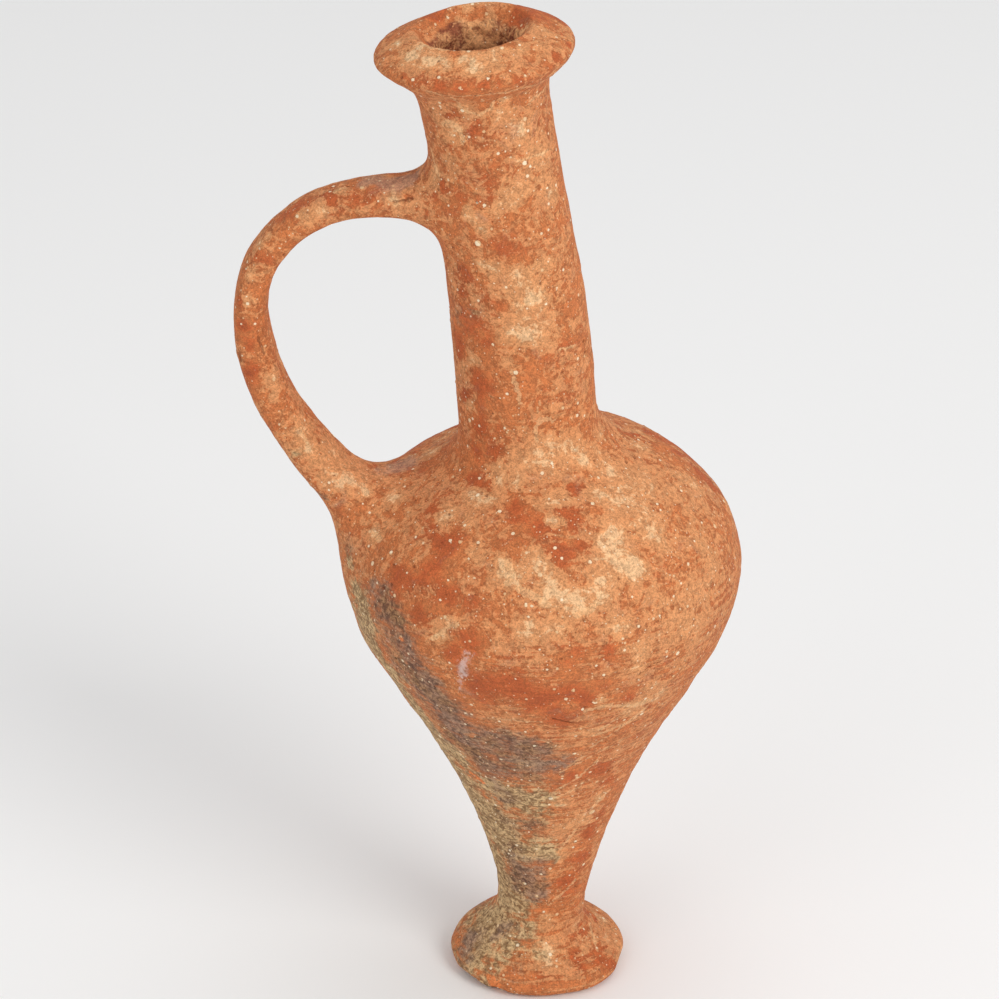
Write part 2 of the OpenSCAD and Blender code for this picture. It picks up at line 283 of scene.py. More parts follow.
# ---------------------------------------------------------------- small faults in the shape
CHIPS = [  # centre, radii: bites out of the edges
    ((-9.6, -17.6, 0.3), (3.4, 2.2, 1.5)), ((-15.5, -11.5, -0.4), (5.2, 5.0, 2.3)),
    ((18.0, 8.0, 0.0), (2.2, 3.4, 1.3)), ((-4.0, 19.0, 0.2), (4.0, 1.6, 1.4)),
]

def outer(P):
    Q = warp(P)
    f, c, fh, u, nn = parts(Q)
    z = P[:, 2]
    low = z < 8
    if low.any():
        L = P[low]
        b = np.full(len(L), 9.0, F32)
        for cc, rr in CHIPS:
            d = (L - np.array(cc, F32)) / np.array(rr, F32)
            b = np.minimum(b, (np.sqrt((d * d).sum(1)) - 1) * min(rr))
        b += vnoise(L, 1.6, 41) * F32(0.35)
        f[low] = smax(f[low], -b, F32(0.5))
    # the passage goes on below 198 as rings, see inner_ring
    c = np.maximum(c, F32(194) - z)
    return np.maximum(f, -c)

VOX = 0.5
def extract():
    lo = np.array([-70.2, -48.6, -2.7], F32); cell = 4 * VOX
    n = np.ceil((np.array([50, 48.6, 234.6]) - lo) / cell).astype(int)
    ax = [lo[i] + (np.arange(n[i]) + 0.5) * cell - 0.5 * VOX for i in range(3)]
    C = np.stack(np.meshgrid(*ax, indexing="ij"), -1).reshape(-1, 3).astype(F32)
    fc = np.concatenate([outer(C[i:i + 400000]) for i in range(0, len(C), 400000)])
    near = np.abs(fc) < cell * 0.87 + 1.4
    far = np.where(fc < 0, F32(-3), F32(3)).reshape(n)
    A = np.repeat(np.repeat(np.repeat(far, 4, 0), 4, 1), 4, 2)
    ids = np.argwhere(near.reshape(n)).astype(np.int32) * 4
    off = np.stack(np.meshgrid(*[np.arange(4)] * 3, indexing="ij"), -1).reshape(-1, 3).astype(np.int32)
    for i in range(0, len(ids), 8000):
        I = (ids[i:i + 8000, None] + off[None]).reshape(-1, 3)
        A[I[:, 0], I[:, 1], I[:, 2]] = np.clip(outer(lo + I.astype(F32) * F32(VOX)), -3, 3)
    g = openvdb.FloatGrid(3.0)
    g.copyFromArray(A)
    pts, tris, quads = g.convertToPolygons(isovalue=0.0, adaptivity=0.0)
    V = lo + np.asarray(pts, F32) * F32(VOX)
    Q = np.asarray(quads, np.int64).reshape(-1, 4)
    T = np.concatenate([Q[:, [0, 1, 2]], Q[:, [0, 2, 3]], np.asarray(tris, np.int64).reshape(-1, 3)])
    return V, T

def gradient(V, e=0.2):
    G = np.empty((len(V), 3), F32)
    for a in range(3):
        d = np.zeros(3, F32); d[a] = e
        G[:, a] = (outer(V + d) - outer(V - d)) / F32(2 * e)
    return G

def settle(V, turns=2):
    for _ in range(turns):
        f = outer(V); G = gradient(V)
        V = V - (G * (np.clip(f, -0.3, 0.3) / np.maximum((G * G).sum(1), 0.25))[:, None]).astype(F32)
    return V.astype(F32)

def normals(V, T):
    n = np.cross(V[T[:, 1]] - V[T[:, 0]], V[T[:, 2]] - V[T[:, 0]])
    N = np.zeros((len(V), 3))
    for a in range(3):
        for c in range(3):
            N[:, c] += np.bincount(T[:, a], n[:, c], len(V))
    return (N / np.maximum(np.linalg.norm(N, axis=1), 1e-12)[:, None]).astype(F32)

def cut(V, T, f, data):
    """Split triangles along f = 0. data: list of per-vertex arrays carried along."""
    f = np.where(np.abs(f) < 1e-5, 1e-5, f)
    s = f[T] > 0
    k = s.sum(1)
    mix = (k == 1) | (k == 2)
    if not mix.any():
        return V, T, f, data
    M, sm, km = T[mix], s[mix], k[mix]
    lone = np.where((km == 1)[:, None], sm, ~sm).argmax(1)
    r = np.arange(len(M))
    a, b, c = M[r, lone], M[r, (lone + 1) % 3], M[r, (lone + 2) % 3]
    E = np.concatenate([np.stack([a, b], 1), np.stack([a, c], 1)])
    Es = np.sort(E, axis=1)
    U, inv = np.unique(Es, axis=0, return_inverse=True)
    inv = inv.ravel()
    w = (f[U[:, 0]] / (f[U[:, 0]] - f[U[:, 1]]))
    mixv = lambda X: np.concatenate([X, (X[U[:, 0]] * (1 - w if X.ndim == 1 else (1 - w)[:, None])
                                          + X[U[:, 1]] * (w if X.ndim == 1 else w[:, None])).astype(X.dtype)])
    n0 = len(V)
    p, q = n0 + inv[:len(M)], n0 + inv[len(M):]
    V = mixv(V); data = [mixv(d) for d in data]
    f = np.concatenate([f, np.zeros(len(U))])
    T = np.concatenate([T[~mix], np.stack([a, p, q], 1), np.stack([p, b, c], 1), np.stack([p, c, q], 1)])
    return V, T, f, data

def loops(T):
    """Closed boundary loops, each in the direction that the neighbouring face would need."""
    E = np.concatenate([T[:, [0, 1]], T[:, [1, 2]], T[:, [2, 0]]])
    key = np.sort(E, axis=1)
    _, inv, cnt = np.unique(key, axis=0, return_inverse=True, return_counts=True)
    B = E[cnt[inv.ravel()] == 1]
    nxt = {int(b): int(a) for a, b in B}       # walk against the faces' own direction
    out = []
    while nxt:
        s, v = nxt.popitem()
        L = [s]
        while v != s:
            L.append(v)
            if v not in nxt:
                break
            v = nxt.pop(v)
        if len(L) > 2:
            out.append(np.array(L))
    return out

def fan(V, L, sink=0.0):
    """Triangles from a loop to its middle; returns the new vertex and the faces."""
    c = V[L].mean(0)
    n = len(V)
    return c, np.stack([L, np.roll(L, -1), np.full(len(L), n)], 1)

def angles(V, L, ax):
    return np.arctan2(V[L][:, 1], V[L][:, 0] - ax)

def zipper(V, A, B, ax):
    """Band between two loops round the same axis. A keeps its direction, B is walked the other way."""
    B = B[::-1]
    def start(L):
        t = angles(V, L, ax)
        return np.roll(L, -int(np.argmin(np.abs(t))))
    A, B = start(A), start(B)
    def run(L):
        t = np.unwrap(angles(V, np.append(L, L[0]), ax))
        return np.append(L, L[0]), t
    A2, ta = run(A); B2, tb = run(B)
    sg = 1.0 if ta[-1] > ta[0] else -1.0
    ta, tb = (ta - ta[0]) * sg, (tb - tb[0]) * sg
    i = j = 0; out = []
    while i < len(A2) - 1 or j < len(B2) - 1:
        if j >= len(B2) - 1 or (i < len(A2) - 1 and ta[i + 1] <= tb[j + 1]):
            out.append((A2[i], A2[i + 1], B2[j])); i += 1
        else:
            out.append((A2[i], B2[j + 1], B2[j])); j += 1
    return np.array(out)

# patches of tone placed on the side seen first: (x, y, z, radius, strength) in mm
PALE_F = [(13.8, -6.1, 136.8, 1.5, 0.7), (13, -9.8, 135.3, 1.5, 0.6), (21.7, -31.3, 119.9, 1.5, 0.5), (-25.8, -10, 227.4, 1.7, 0.4), (-17.2, -11.8,
    211.3, 3, 0.5), (-18.4, -10.3, 205.4, 2.2, 0.4), (-51.1, -5.5, 139.3, 3.4, 0.35), (-47.3, -6, 133, 3, 0.35), (-44.8, -6.9, 126.6, 3, 0.3), (-24.6,
    -26.6, 118.9, 2.6, 0.2), (33.4, -28.8, 107.1, 6.5, 0.35), (33.4, -9.7, 123.7, 6.5, 0.3), (22.5, -11.9, 129.7, 5.6, 0.35), (-40.5, -6, 126.1, 4.7,
    0.25), (0.7, -11.6, 27.2, 2.2, 0.2), (1.8, -12.7, 9.1, 4.7, 0.35), (10.8, -8, 7.5, 3.9, 0.35), (9.7, -15.9, 45.9, 4.3, 0.3), (25, -30.1, 85.4,
    5.2, 0.3), (-23.6, -11.2, 227.9, 5.6, 0.2), (-11.1, -15.7, 228.7, 5.6, 0.2), (1.1, -6.9, 230, 3.9, 0.25), (-42.9, -0.3, 130.5, 4.3, 0.3), (-29.3,
    -15.6, 121.5, 4.7, 0.25), (-10.1, -10.2, 39.5, 2.6, 0.5), (-5, -11.5, 32.4, 2.2, 0.4), (5.2, -13.5, 35.1, 2.2, 0.5), (-14.5, -21.6, 64.7, 2.6,
    0.3), (-30.3, -28.3, 95.2, 1.7, 0.3), (-33.5, -26.3, 100.2, 1.7, 0.5), (-7.1, -13.5, 217.1, 2.6, 0.6), (-3, -11.5, 211.7, 3, 0.6), (-6.2, -13.5,
    195.4, 2.2, 0.7), (0, -9.8, 205.2, 3, 0.5), (3.1, -7.8, 196.3, 2.6, 0.5), (-3.1, -12.5, 198.4, 2.6, 0.5), (1.1, -12.5, 181.1, 1.9, 0.8), (-2.1,
    -14, 178.3, 2.6, 0.9), (1.1, -13.2, 173.3, 3.2, 1), (-3.1, -14.4, 173.8, 2.4, 0.8), (5.2, -10.8, 169.8, 2.4, 0.5), (-4.7, -14.7, 166.9, 3, 1),
    (-0, -14.2, 165.5, 2.4, 0.7), (-10.5, -13.6, 181.6, 1.7, 0.8), (-8, -14.2, 180.2, 1.5, 0.9), (-6.3, -14.5, 176.2, 1.5, 0.5), (-13.4, -12.7, 191.8,
    1.4, 1), (-14, -12.4, 194.2, 1.1, 0.9), (-11.1, -13.5, 189.6, 1.5, 0.9), (-14.8, -14.2, 217.7, 1.3, 0.6), (-12.3, -13.8, 215.6, 1.3, 0.7), (-6,
    -15.2, 220.7, 1.5, 0.9), (-19, -9.2, 186.4, 1.3, 0.6), (-12.9, -11.4, 158.1, 1.5, 0.8), (-6.4, -14.6, 159.3, 1.3, 0.6), (-15.1, -8.8, 155.2, 1.3,
    0.5), (-14.1, -9.5, 145.7, 1.5, 0.9), (-21.1, -6.8, 199.2, 1.5, 0.8), (-29.6, -6, 193, 1.1, 0.8), (3.1, -14.9, 138.4, 3.7, 0.8), (8.5, -13.2,
    136.4, 3.2, 0.9), (-1.1, -16.3, 136.2, 2.8, 0.6), (15.6, -12.4, 132.3, 2.8, 0.8), (10.6, -13.8, 134.2, 1.7, 1), (22.5, 4.6, 130.8, 3.7, 0.7),
    (18.2, -19.7, 128.9, 3.4, 0.8), (4.3, -22.7, 130.4, 2.6, 0.8), (3.3, -27.4, 128.1, 1.3, 1), (13.5, -19.9, 130.2, 2.2, 0.8), (-7.6, -16.4, 133.1,
    2.2, 0.6), (-12.9, -17.9, 128.9, 2.6, 0.9), (-19.3, -20.8, 125.3, 1.9, 0.9), (-9.7, -20.4, 129.1, 1.7, 0.6), (-3.2, -18.3, 132.9, 1.7, 0.6),
    (-30.6, -10.1, 123.4, 1.7, 0.9), (-14.3, -24.2, 125.8, 2.4, 0.5), (33.4, -2.3, 124.7, 3, 0.4), (24.7, -21.6, 125.1, 3, 0.6), (38.8, -17.9, 113.4,
    3, 0.4), (-29.2, -2.9, 227.1, 1.7, 0.7), (-25.8, -8.8, 227.7, 1.9, 0.8), (-21.5, -13.5, 227.7, 1.7, 1), (-18.1, -15.6, 227.8, 1.5, 0.9), (-13.2,
    -14.7, 229.2, 1.9, 1), (-11.7, -17.1, 228, 1.3, 0.8), (-7.1, -12.6, 230.1, 1.3, 0.8), (-7.6, -14.9, 229.1, 1.7, 0.6), (-3, -11.7, 229.7, 1.7,
    0.6), (2, -2.3, 230.3, 1.5, 0.6), (-25, -3.1, 229, 1.3, 0.8), (-23.8, -7.5, 229, 0.9, 0.9), (-45.6, -4.9, 190.6, 1.3, 0.7), (-48.8, -5.3, 188.4,
    1.5, 0.6), (-56.4, -4.1, 183.9, 1.5, 0.7), (-58.6, -4, 181.5, 1.3, 0.5), (-59.8, -5.7, 175.2, 1.1, 0.6), (-60.6, -5.8, 168.6, 1.5, 0.8), (-41.5,
    -1.8, 193.4, 1.1, 0.7), (-56.8, -5.7, 150.7, 1.7, 0.7), (-55.5, 1.2, 151.6, 1.5, 0.5), (-56.3, -6, 147.5, 1.5, 0.6), (-51.7, -6.3, 137.9, 1.5,
    0.7), (-50.1, -6.5, 133.7, 1.5, 0.7), (-43.8, -3.7, 131, 2.4, 0.5), (-42, -6.7, 126, 2.4, 0.5), (-37.2, -7.2, 123.8, 1.3, 0.7), (-34.8, -15.2,
    117.6, 1.9, 0.6), (-12.6, -30.5, 122.4, 2.4, 0.7), (-4.4, -37, 119.4, 2.6, 1), (-6.6, -34.4, 121.4, 1.7, 0.9), (1.3, -35.4, 122, 2.4, 0.9), (3.1,
    -39.2, 117.6, 2.8, 1), (7.7, -40, 115.7, 2.6, 0.9), (14.1, -37.7, 116.8, 3.2, 0.9), (9.9, -40.7, 113.2, 1.9, 0.8), (18.3, -32.1, 121.1, 3.7, 1),
    (16.6, -28.2, 125, 3.2, 0.9), (21.9, -32.6, 118.4, 2.4, 0.8), (22.5, -24.9, 124.5, 2.8, 0.7), (18.4, -39.1, 109.1, 3, 0.7), (22.7, -37.8, 102.3,
    2.6, 0.6), (-1.8, -42.6, 109.7, 2.6, 0.7), (5.2, -42.5, 109.7, 2.8, 0.5), (-20, -37.9, 105.5, 1.9, 0.6), (-17.4, -38.4, 109.7, 1.7, 0.6), (21.7,
    -37.4, 97.1, 2.6, 0.5), (14.2, -38.3, 89.6, 1.7, 0.7), (20.7, -32.2, 84.1, 2.6, 0.5), (12.4, -32.9, 78.9, 2.6, 0.4), (5.3, -20.6, 53.4, 1.9, 0.6),
    (14.2, -15.7, 51.6, 1.5, 0.7), (-2, -28.5, 68.2, 1.9, 1), (1.3, -28.7, 68.4, 1.7, 0.9), (25.8, -33.9, 112.3, 2.6, 0.6), (26.8, -24.7, 121.9, 2.8,
    0.6), (35.5, -18, 118.3, 3.4, 0.5), (5.5, -27.3, 128, 1.9, 0.5), (2.4, -11.9, 9.7, 1.7, 0.6), (2.9, -14.4, 7.5, 1.5, 0.6), (1.7, -9.9, 15.9, 1.5,
    0.7), (8.5, -5.9, 11.5, 1.5, 0.4)]
RED_F = [(-63.4, -5.6, 162.1, 2.4, 0.45), (-62.6, -5.3, 151.9, 2.6, 0.5), (-63.7, -4.7, 168.8, 1.7, 0.4), (-58.4, -5.4, 171.5, 1.7, 0.35), (-59.5,
    -5.7, 162.2, 1.7, 0.3), (-53.3, -1.8, 187.5, 2.6, 0.4), (-43.5, -3, 192.5, 2.6, 0.35), (-33.9, -5.6, 192.8, 2.2, 0.3), (2.1, -14.3, 151.3, 2.2,
    0.2), (-14.8, -11.1, 179.2, 1.9, 0.7), (-16, -9.6, 175, 1.7, 0.7), (-13.9, -11.1, 167, 2.6, 0.75), (-16.6, -7.2, 162, 2.2, 0.8), (-9.9, -13.7,
    173.4, 1.7, 0.45), (-6.7, -14.5, 172, 1.7, 0.4), (-16.2, -7.4, 158, 1.9, 0.9), (-11.4, -12.4, 152.7, 2.8, 0.9), (-15.2, -8.2, 148.1, 1.7, 0.9),
    (-12.4, -11.2, 142.4, 2.2, 0.9), (-7.6, -14.2, 142.8, 1.7, 0.6), (-10.7, -13.1, 162.6, 1.9, 0.6), (-12.7, -11.4, 135.3, 1.9, 0.9), (-8.3, -14,
    137.9, 1.7, 0.7), (-13, -14.5, 130.8, 1.9, 1), (-10.8, -17, 130.4, 1.7, 0.8), (-4.2, -23.3, 129.5, 1.9, 0.9), (-3.1, -26.4, 128.2, 1.5, 0.8),
    (-22.7, -18, 124.8, 1.7, 0.6), (-22.5, -22.5, 122.8, 1.9, 0.6), (-20.3, -25.8, 122.2, 1.9, 0.7), (1.2, -28.5, 127.5, 2.4, 0.7), (6.5, -24.9,
    129.2, 1.9, 0.8), (8.2, -27.2, 127.8, 1.9, 0.7), (8.8, -19.7, 131.3, 1.5, 0.8), (-9.3, -13.5, 196.6, 1.7, 0.5), (-9.3, -13.5, 201.1, 1.7, 0.5),
    (-16.1, -11.4, 195.6, 1.7, 0.7), (-4.8, -14, 186, 2.4, 0.35), (-1, -13.2, 183.5, 1.9, 0.3), (-7.3, -14.1, 184.9, 1.7, 0.3), (-6.2, -13.7, 193.2,
    1.5, 0.5), (-17.7, -11, 206.8, 1.5, 0.4), (-13.2, -13.3, 212.4, 1.5, 0.7), (-17.5, -12.5, 215.9, 1.3, 0.6), (-11.3, -13.8, 214.9, 1.1, 0.5),
    (-19.5, -8.9, 197.6, 1.3, 0.7), (-0.7, -14.7, 157.5, 1.5, 0.6), (5.2, -10.9, 169.4, 1.7, 0.6), (6.3, -10.8, 162.7, 1.7, 0.6), (-23.5, -16.4,
    225.6, 1.7, 0.5), (-19.3, -19.2, 225.3, 1.5, 0.75), (-15.1, -20.5, 225.2, 1.5, 0.8), (-11, -20.7, 225.5, 1.5, 0.75), (-6.9, -20.1, 225.5, 1.5,
    0.6), (-2.8, -18.6, 225.5, 1.5, 0.5), (-26.7, -14.2, 225.4, 1.3, 0.5), (4.2, -10, 227.9, 1.5, 0.6), (7.1, -4.4, 227.8, 0.9, 0.8), (-62.7, -5.9,
    163.4, 1.5, 0.9), (-61.3, -6.1, 158.8, 1.5, 0.8), (-61, -6.2, 152.8, 1.3, 0.8), (-63.2, -5.2, 169, 1.1, 0.5), (-50, -1.7, 189.8, 1.7, 0.6),
    (-43.5, -4.1, 192.1, 1.7, 0.5), (-38.8, -5.1, 192.6, 1.7, 0.5), (-57.5, -5.6, 178.7, 1.5, 0.6), (-56.5, -6.3, 139.6, 1.3, 0.6), (-22.1, -7.7, 195,
    1.5, 0.5), (-31.8, -27.5, 108.8, 2.8, 0.6), (-28.9, -28.4, 113.8, 3.2, 0.9), (-22.3, -30.6, 117.5, 3.2, 0.8), (-18.9, -35.7, 114.3, 2.8, 0.7),
    (-24.4, -34.5, 108.6, 2.6, 0.7), (-14, -40.6, 106.1, 2.8, 0.8), (-16.8, -39.6, 101.8, 2.4, 0.8), (-11.5, -40.1, 94.7, 3.7, 0.9), (-5, -41.9, 95.8,
    3.7, 1), (1.3, -41.2, 91.7, 3.7, 0.9), (7.8, -41.5, 94.4, 3.2, 0.8), (11, -39.8, 90.9, 2.6, 0.9), (5.6, -37.7, 84.7, 2.8, 0.7), (-12.5, -38.5,
    114.6, 2.2, 0.5), (-18.1, -27.7, 122, 2.6, 0.7), (5.5, -33.6, 123.5, 2.4, 0.9), (10.8, -31.5, 124.3, 1.9, 0.6), (14, -27.9, 126, 1.7, 0.5), (7.8,
    -43.1, 102.8, 2.6, 0.5), (16.3, -40.8, 104, 1.9, 0.6), (15.2, -39.6, 94.6, 2.6, 0.5), (20.6, -35.5, 89.8, 1.9, 0.7), (14.2, -22.1, 62.7, 2.6,
    0.6), (8.7, -24.6, 62.9, 2.2, 0.8), (16.4, -17.1, 57.1, 2.2, 0.5), (11.9, -12.1, 40.4, 2.6, 0.65), (14.2, -12.3, 45, 1.5, 0.7), (9.7, -10.1, 31.7,
    2.4, 0.6), (6.3, -10.2, 25.8, 2.6, 0.65), (-2.8, -9.3, 16.3, 1.5, 0.7), (-3.9, -10.7, 11.2, 1.5, 0.7), (9.7, -6.5, 9.2, 2.6, 0.45), (14.3, -8.8,
    5.3, 3, 0.5), (17.7, -9.2, 2.9, 1.7, 0.7), (8.6, -12, 6.8, 2.6, 0.5), (0.7, -19.4, 4, 2.2, 0.4)]
SOOT_F = [(-35.7, -23, 106.3, 1.9, 0.4), (-33.7, -26.3, 101.7, 2.2, 0.5), (-31.6, -27, 95.6, 2.2, 0.55), (-28.8, -27.7, 90.6, 2.4, 0.55), (-25.7,
    -26.4, 84.3, 2.6, 0.55), (-23.1, -23.9, 77.8, 2.6, 0.5), (-20.2, -21, 70.7, 2.6, 0.5), (-21.3, -33.6, 89.6, 2.6, 0.45), (-25.1, -33.4, 95.9, 2.2,
    0.4), (-17.6, -25.3, 73.3, 2.6, 0.5), (-12, -28.2, 72.6, 3, 0.5), (-4.4, -29.8, 71, 3, 0.5), (1.1, -28.3, 67.6, 2.4, 0.5), (-25.9, -30.3, 90.1,
    1.9, 0.4), (-21.6, -30.8, 85.4, 2.2, 0.4), (-10.1, -22.2, 61.3, 2.6, 0.45), (-3.5, -22.6, 57.7, 2.2, 0.4), (-2.6, -16.4, 43.4, 2.6, 0.35), (-7.2,
    -10.8, 34.6, 2.2, 0.3), (-3.8, -11.6, 31.2, 2.4, 0.4), (-28.5, -31.6, 99.5, 1.9, 0.4), (-30.2, -30.3, 105, 1.9, 0.35), (-35.1, -18.8, 114.6, 1.5,
    0.5), (-33.9, -24.5, 109.6, 2.6, 0.5), (-31.1, -29, 106.7, 2.6, 0.9), (-29.3, -31.3, 103.1, 2.8, 0.9), (-27.2, -32.6, 98.9, 2.6, 1), (-27.6,
    -30.8, 94.6, 1.9, 1), (-24.5, -32.5, 92.4, 2.4, 0.9), (-22.6, -31.7, 87.9, 2.4, 0.9), (-20.1, -30.5, 83.5, 2.6, 0.9), (-16.7, -34.2, 86, 2.4,
    0.7), (-19.7, -26.7, 77.4, 2.4, 0.7), (-15.8, -31, 80, 2.4, 0.7), (-14.3, -26.1, 71.3, 3, 1), (-9.7, -32.3, 77.6, 3, 0.9), (-7.2, -30.7, 73.6,
    3.2, 1), (-2.8, -32.5, 75.2, 3, 0.9), (1.6, -31.7, 73.5, 2.6, 0.8), (-11.8, -23.9, 65.6, 2.6, 0.7), (-6.2, -25.7, 64.7, 2.8, 0.9), (-1.2, -25.9,
    63.3, 2.4, 0.7), (5.4, -27.8, 67.4, 2.2, 0.5), (5.4, -24.3, 60.9, 1.9, 0.5), (-7.3, -19.4, 53.9, 2.2, 0.8), (-8.2, -15.4, 46.7, 1.9, 0.6), (-0.3,
    -17.4, 45.2, 2.2, 0.9), (-4.9, -13.2, 37.2, 1.7, 0.6), (-5, -9.8, 27.3, 2.4, 0.9), (-1.6, -10.6, 24.7, 2.4, 0.9), (1.8, -13.1, 32.1, 2.2, 0.7),
    (-0.1, -10.3, 21.8, 1.7, 0.7), (-7.4, -8.1, 12, 1.7, 0.5), (-14.8, -5.3, 7.9, 2.4, 0.7), (-16.4, -8.4, 5.6, 2.6, 0.8), (-9.7, -8.5, 10, 1.7, 0.5),
    (-18.7, 1.1, 5.3, 1.5, 0.6), (-5, -17.4, 5.4, 2.6, 0.3), (-41.2, -11.1, 112, 1.1, 0.5), (-22.3, -36.1, 98.5, 1.5, 0.4), (-15.5, -10.7, 180.2, 1.3,
    0.5), (-13.8, -11.3, 169.4, 1.9, 0.5), (-16.8, -7.6, 166.9, 1.5, 0.5), (-46.7, -5.9, 121.9, 1.3, 0.7), (-63.4, -5.1, 155.2, 0.6, 0.9)]
KHAKI_F = [(-36.9, -21.3, 104.8, 1.9, 0.6), (-36.1, -22.1, 99, 1.9, 0.6), (-34.8, -21, 92.7, 1.9, 0.6), (-32.2, -21.6, 88, 1.9, 0.6), (-28.4, -20.5,
    81.3, 1.9, 0.6), (-24.6, -19.1, 74.4, 1.9, 0.6), (-6.8, -21.1, 56.8, 2.6, 0.45), (-2.5, -20.1, 52.3, 2.6, 0.4), (2, -19.5, 50.1, 2.2, 0.35),
    (-1.5, -14.2, 36.8, 2.2, 0.4), (-4, -8.7, 18.6, 2.2, 0.45), (-8.6, -6.9, 12, 2.4, 0.4), (-1.7, -10.3, 12.9, 1.9, 0.4), (0.6, -12.9, 9.2, 1.9,
    0.35), (-8.4, -13.9, 7.1, 2.6, 0.35), (-14.2, -11.6, 5.5, 1.9, 0.4), (-40.5, -12.7, 110, 1.5, 0.7), (-39.1, -16.9, 104.9, 1.5, 0.7), (-37.5,
    -20.3, 101.3, 1.9, 0.8), (-35.9, -19.8, 94, 2.2, 0.9), (-33.9, -21.2, 90.8, 1.7, 0.8), (-30.4, -19.6, 83.3, 1.9, 0.9), (-26.3, -19.4, 77.2, 1.9,
    0.9), (-22.7, -18, 70.7, 2.4, 1), (-19.7, -17.8, 66.3, 2.6, 1), (-16.8, -18.8, 63.5, 2.2, 0.8), (-15.7, -8.4, 48.9, 2.8, 1), (-10.9, -19.8, 58,
    1.9, 0.6), (-10.4, -13.5, 46.3, 2.8, 0.9), (-4.4, -20.9, 54.8, 2.2, 1), (2, -22, 55.6, 1.9, 0.6), (-8.3, -11.7, 38.9, 2.6, 0.9), (-5.8, -11.9,
    35.1, 1.9, 0.9), (-9.2, -6.6, 30.1, 1.9, 0.9), (1.9, -14.7, 37.1, 1.9, 0.6), (-7.8, -6.1, 24.7, 1.7, 0.8), (-7.2, -5.8, 18.9, 1.7, 0.9), (-11.9,
    -3.4, 10.8, 2.4, 0.9), (-8.6, -4.6, 14.3, 1.7, 0.7), (-12.9, -7.9, 8.3, 2.4, 0.9), (-6, -11.7, 9.5, 1.9, 0.6), (3.6, -13.9, 35.4, 1.5, 0.5),
    (-2.2, -29.1, 69.4, 2.2, 0.5), (-14.2, -29.1, 75.6, 1.9, 0.4), (-52.3, -6.4, 132.4, 1.1, 0.5)]
GREY_F = [(-34.1, -0.4, 194.8, 2.2, 0.9), (-28.7, -1.4, 195.3, 2.4, 1), (-25.5, -1.7, 196.4, 1.5, 0.9), (-37.2, -0.9, 194.4, 1.5, 0.7), (-31.1, 2.8,
    125, 2.4, 0.8), (-27.7, 4.2, 125.8, 1.9, 0.6), (-35.2, 0.5, 125.2, 1.5, 0.5), (-27.7, -1.4, 195.6, 1.7, 0.5), (-15.3, -39.8, 98.7, 1.3, 0.6),
    (-15.5, -37.8, 92.1, 1.3, 0.5)]
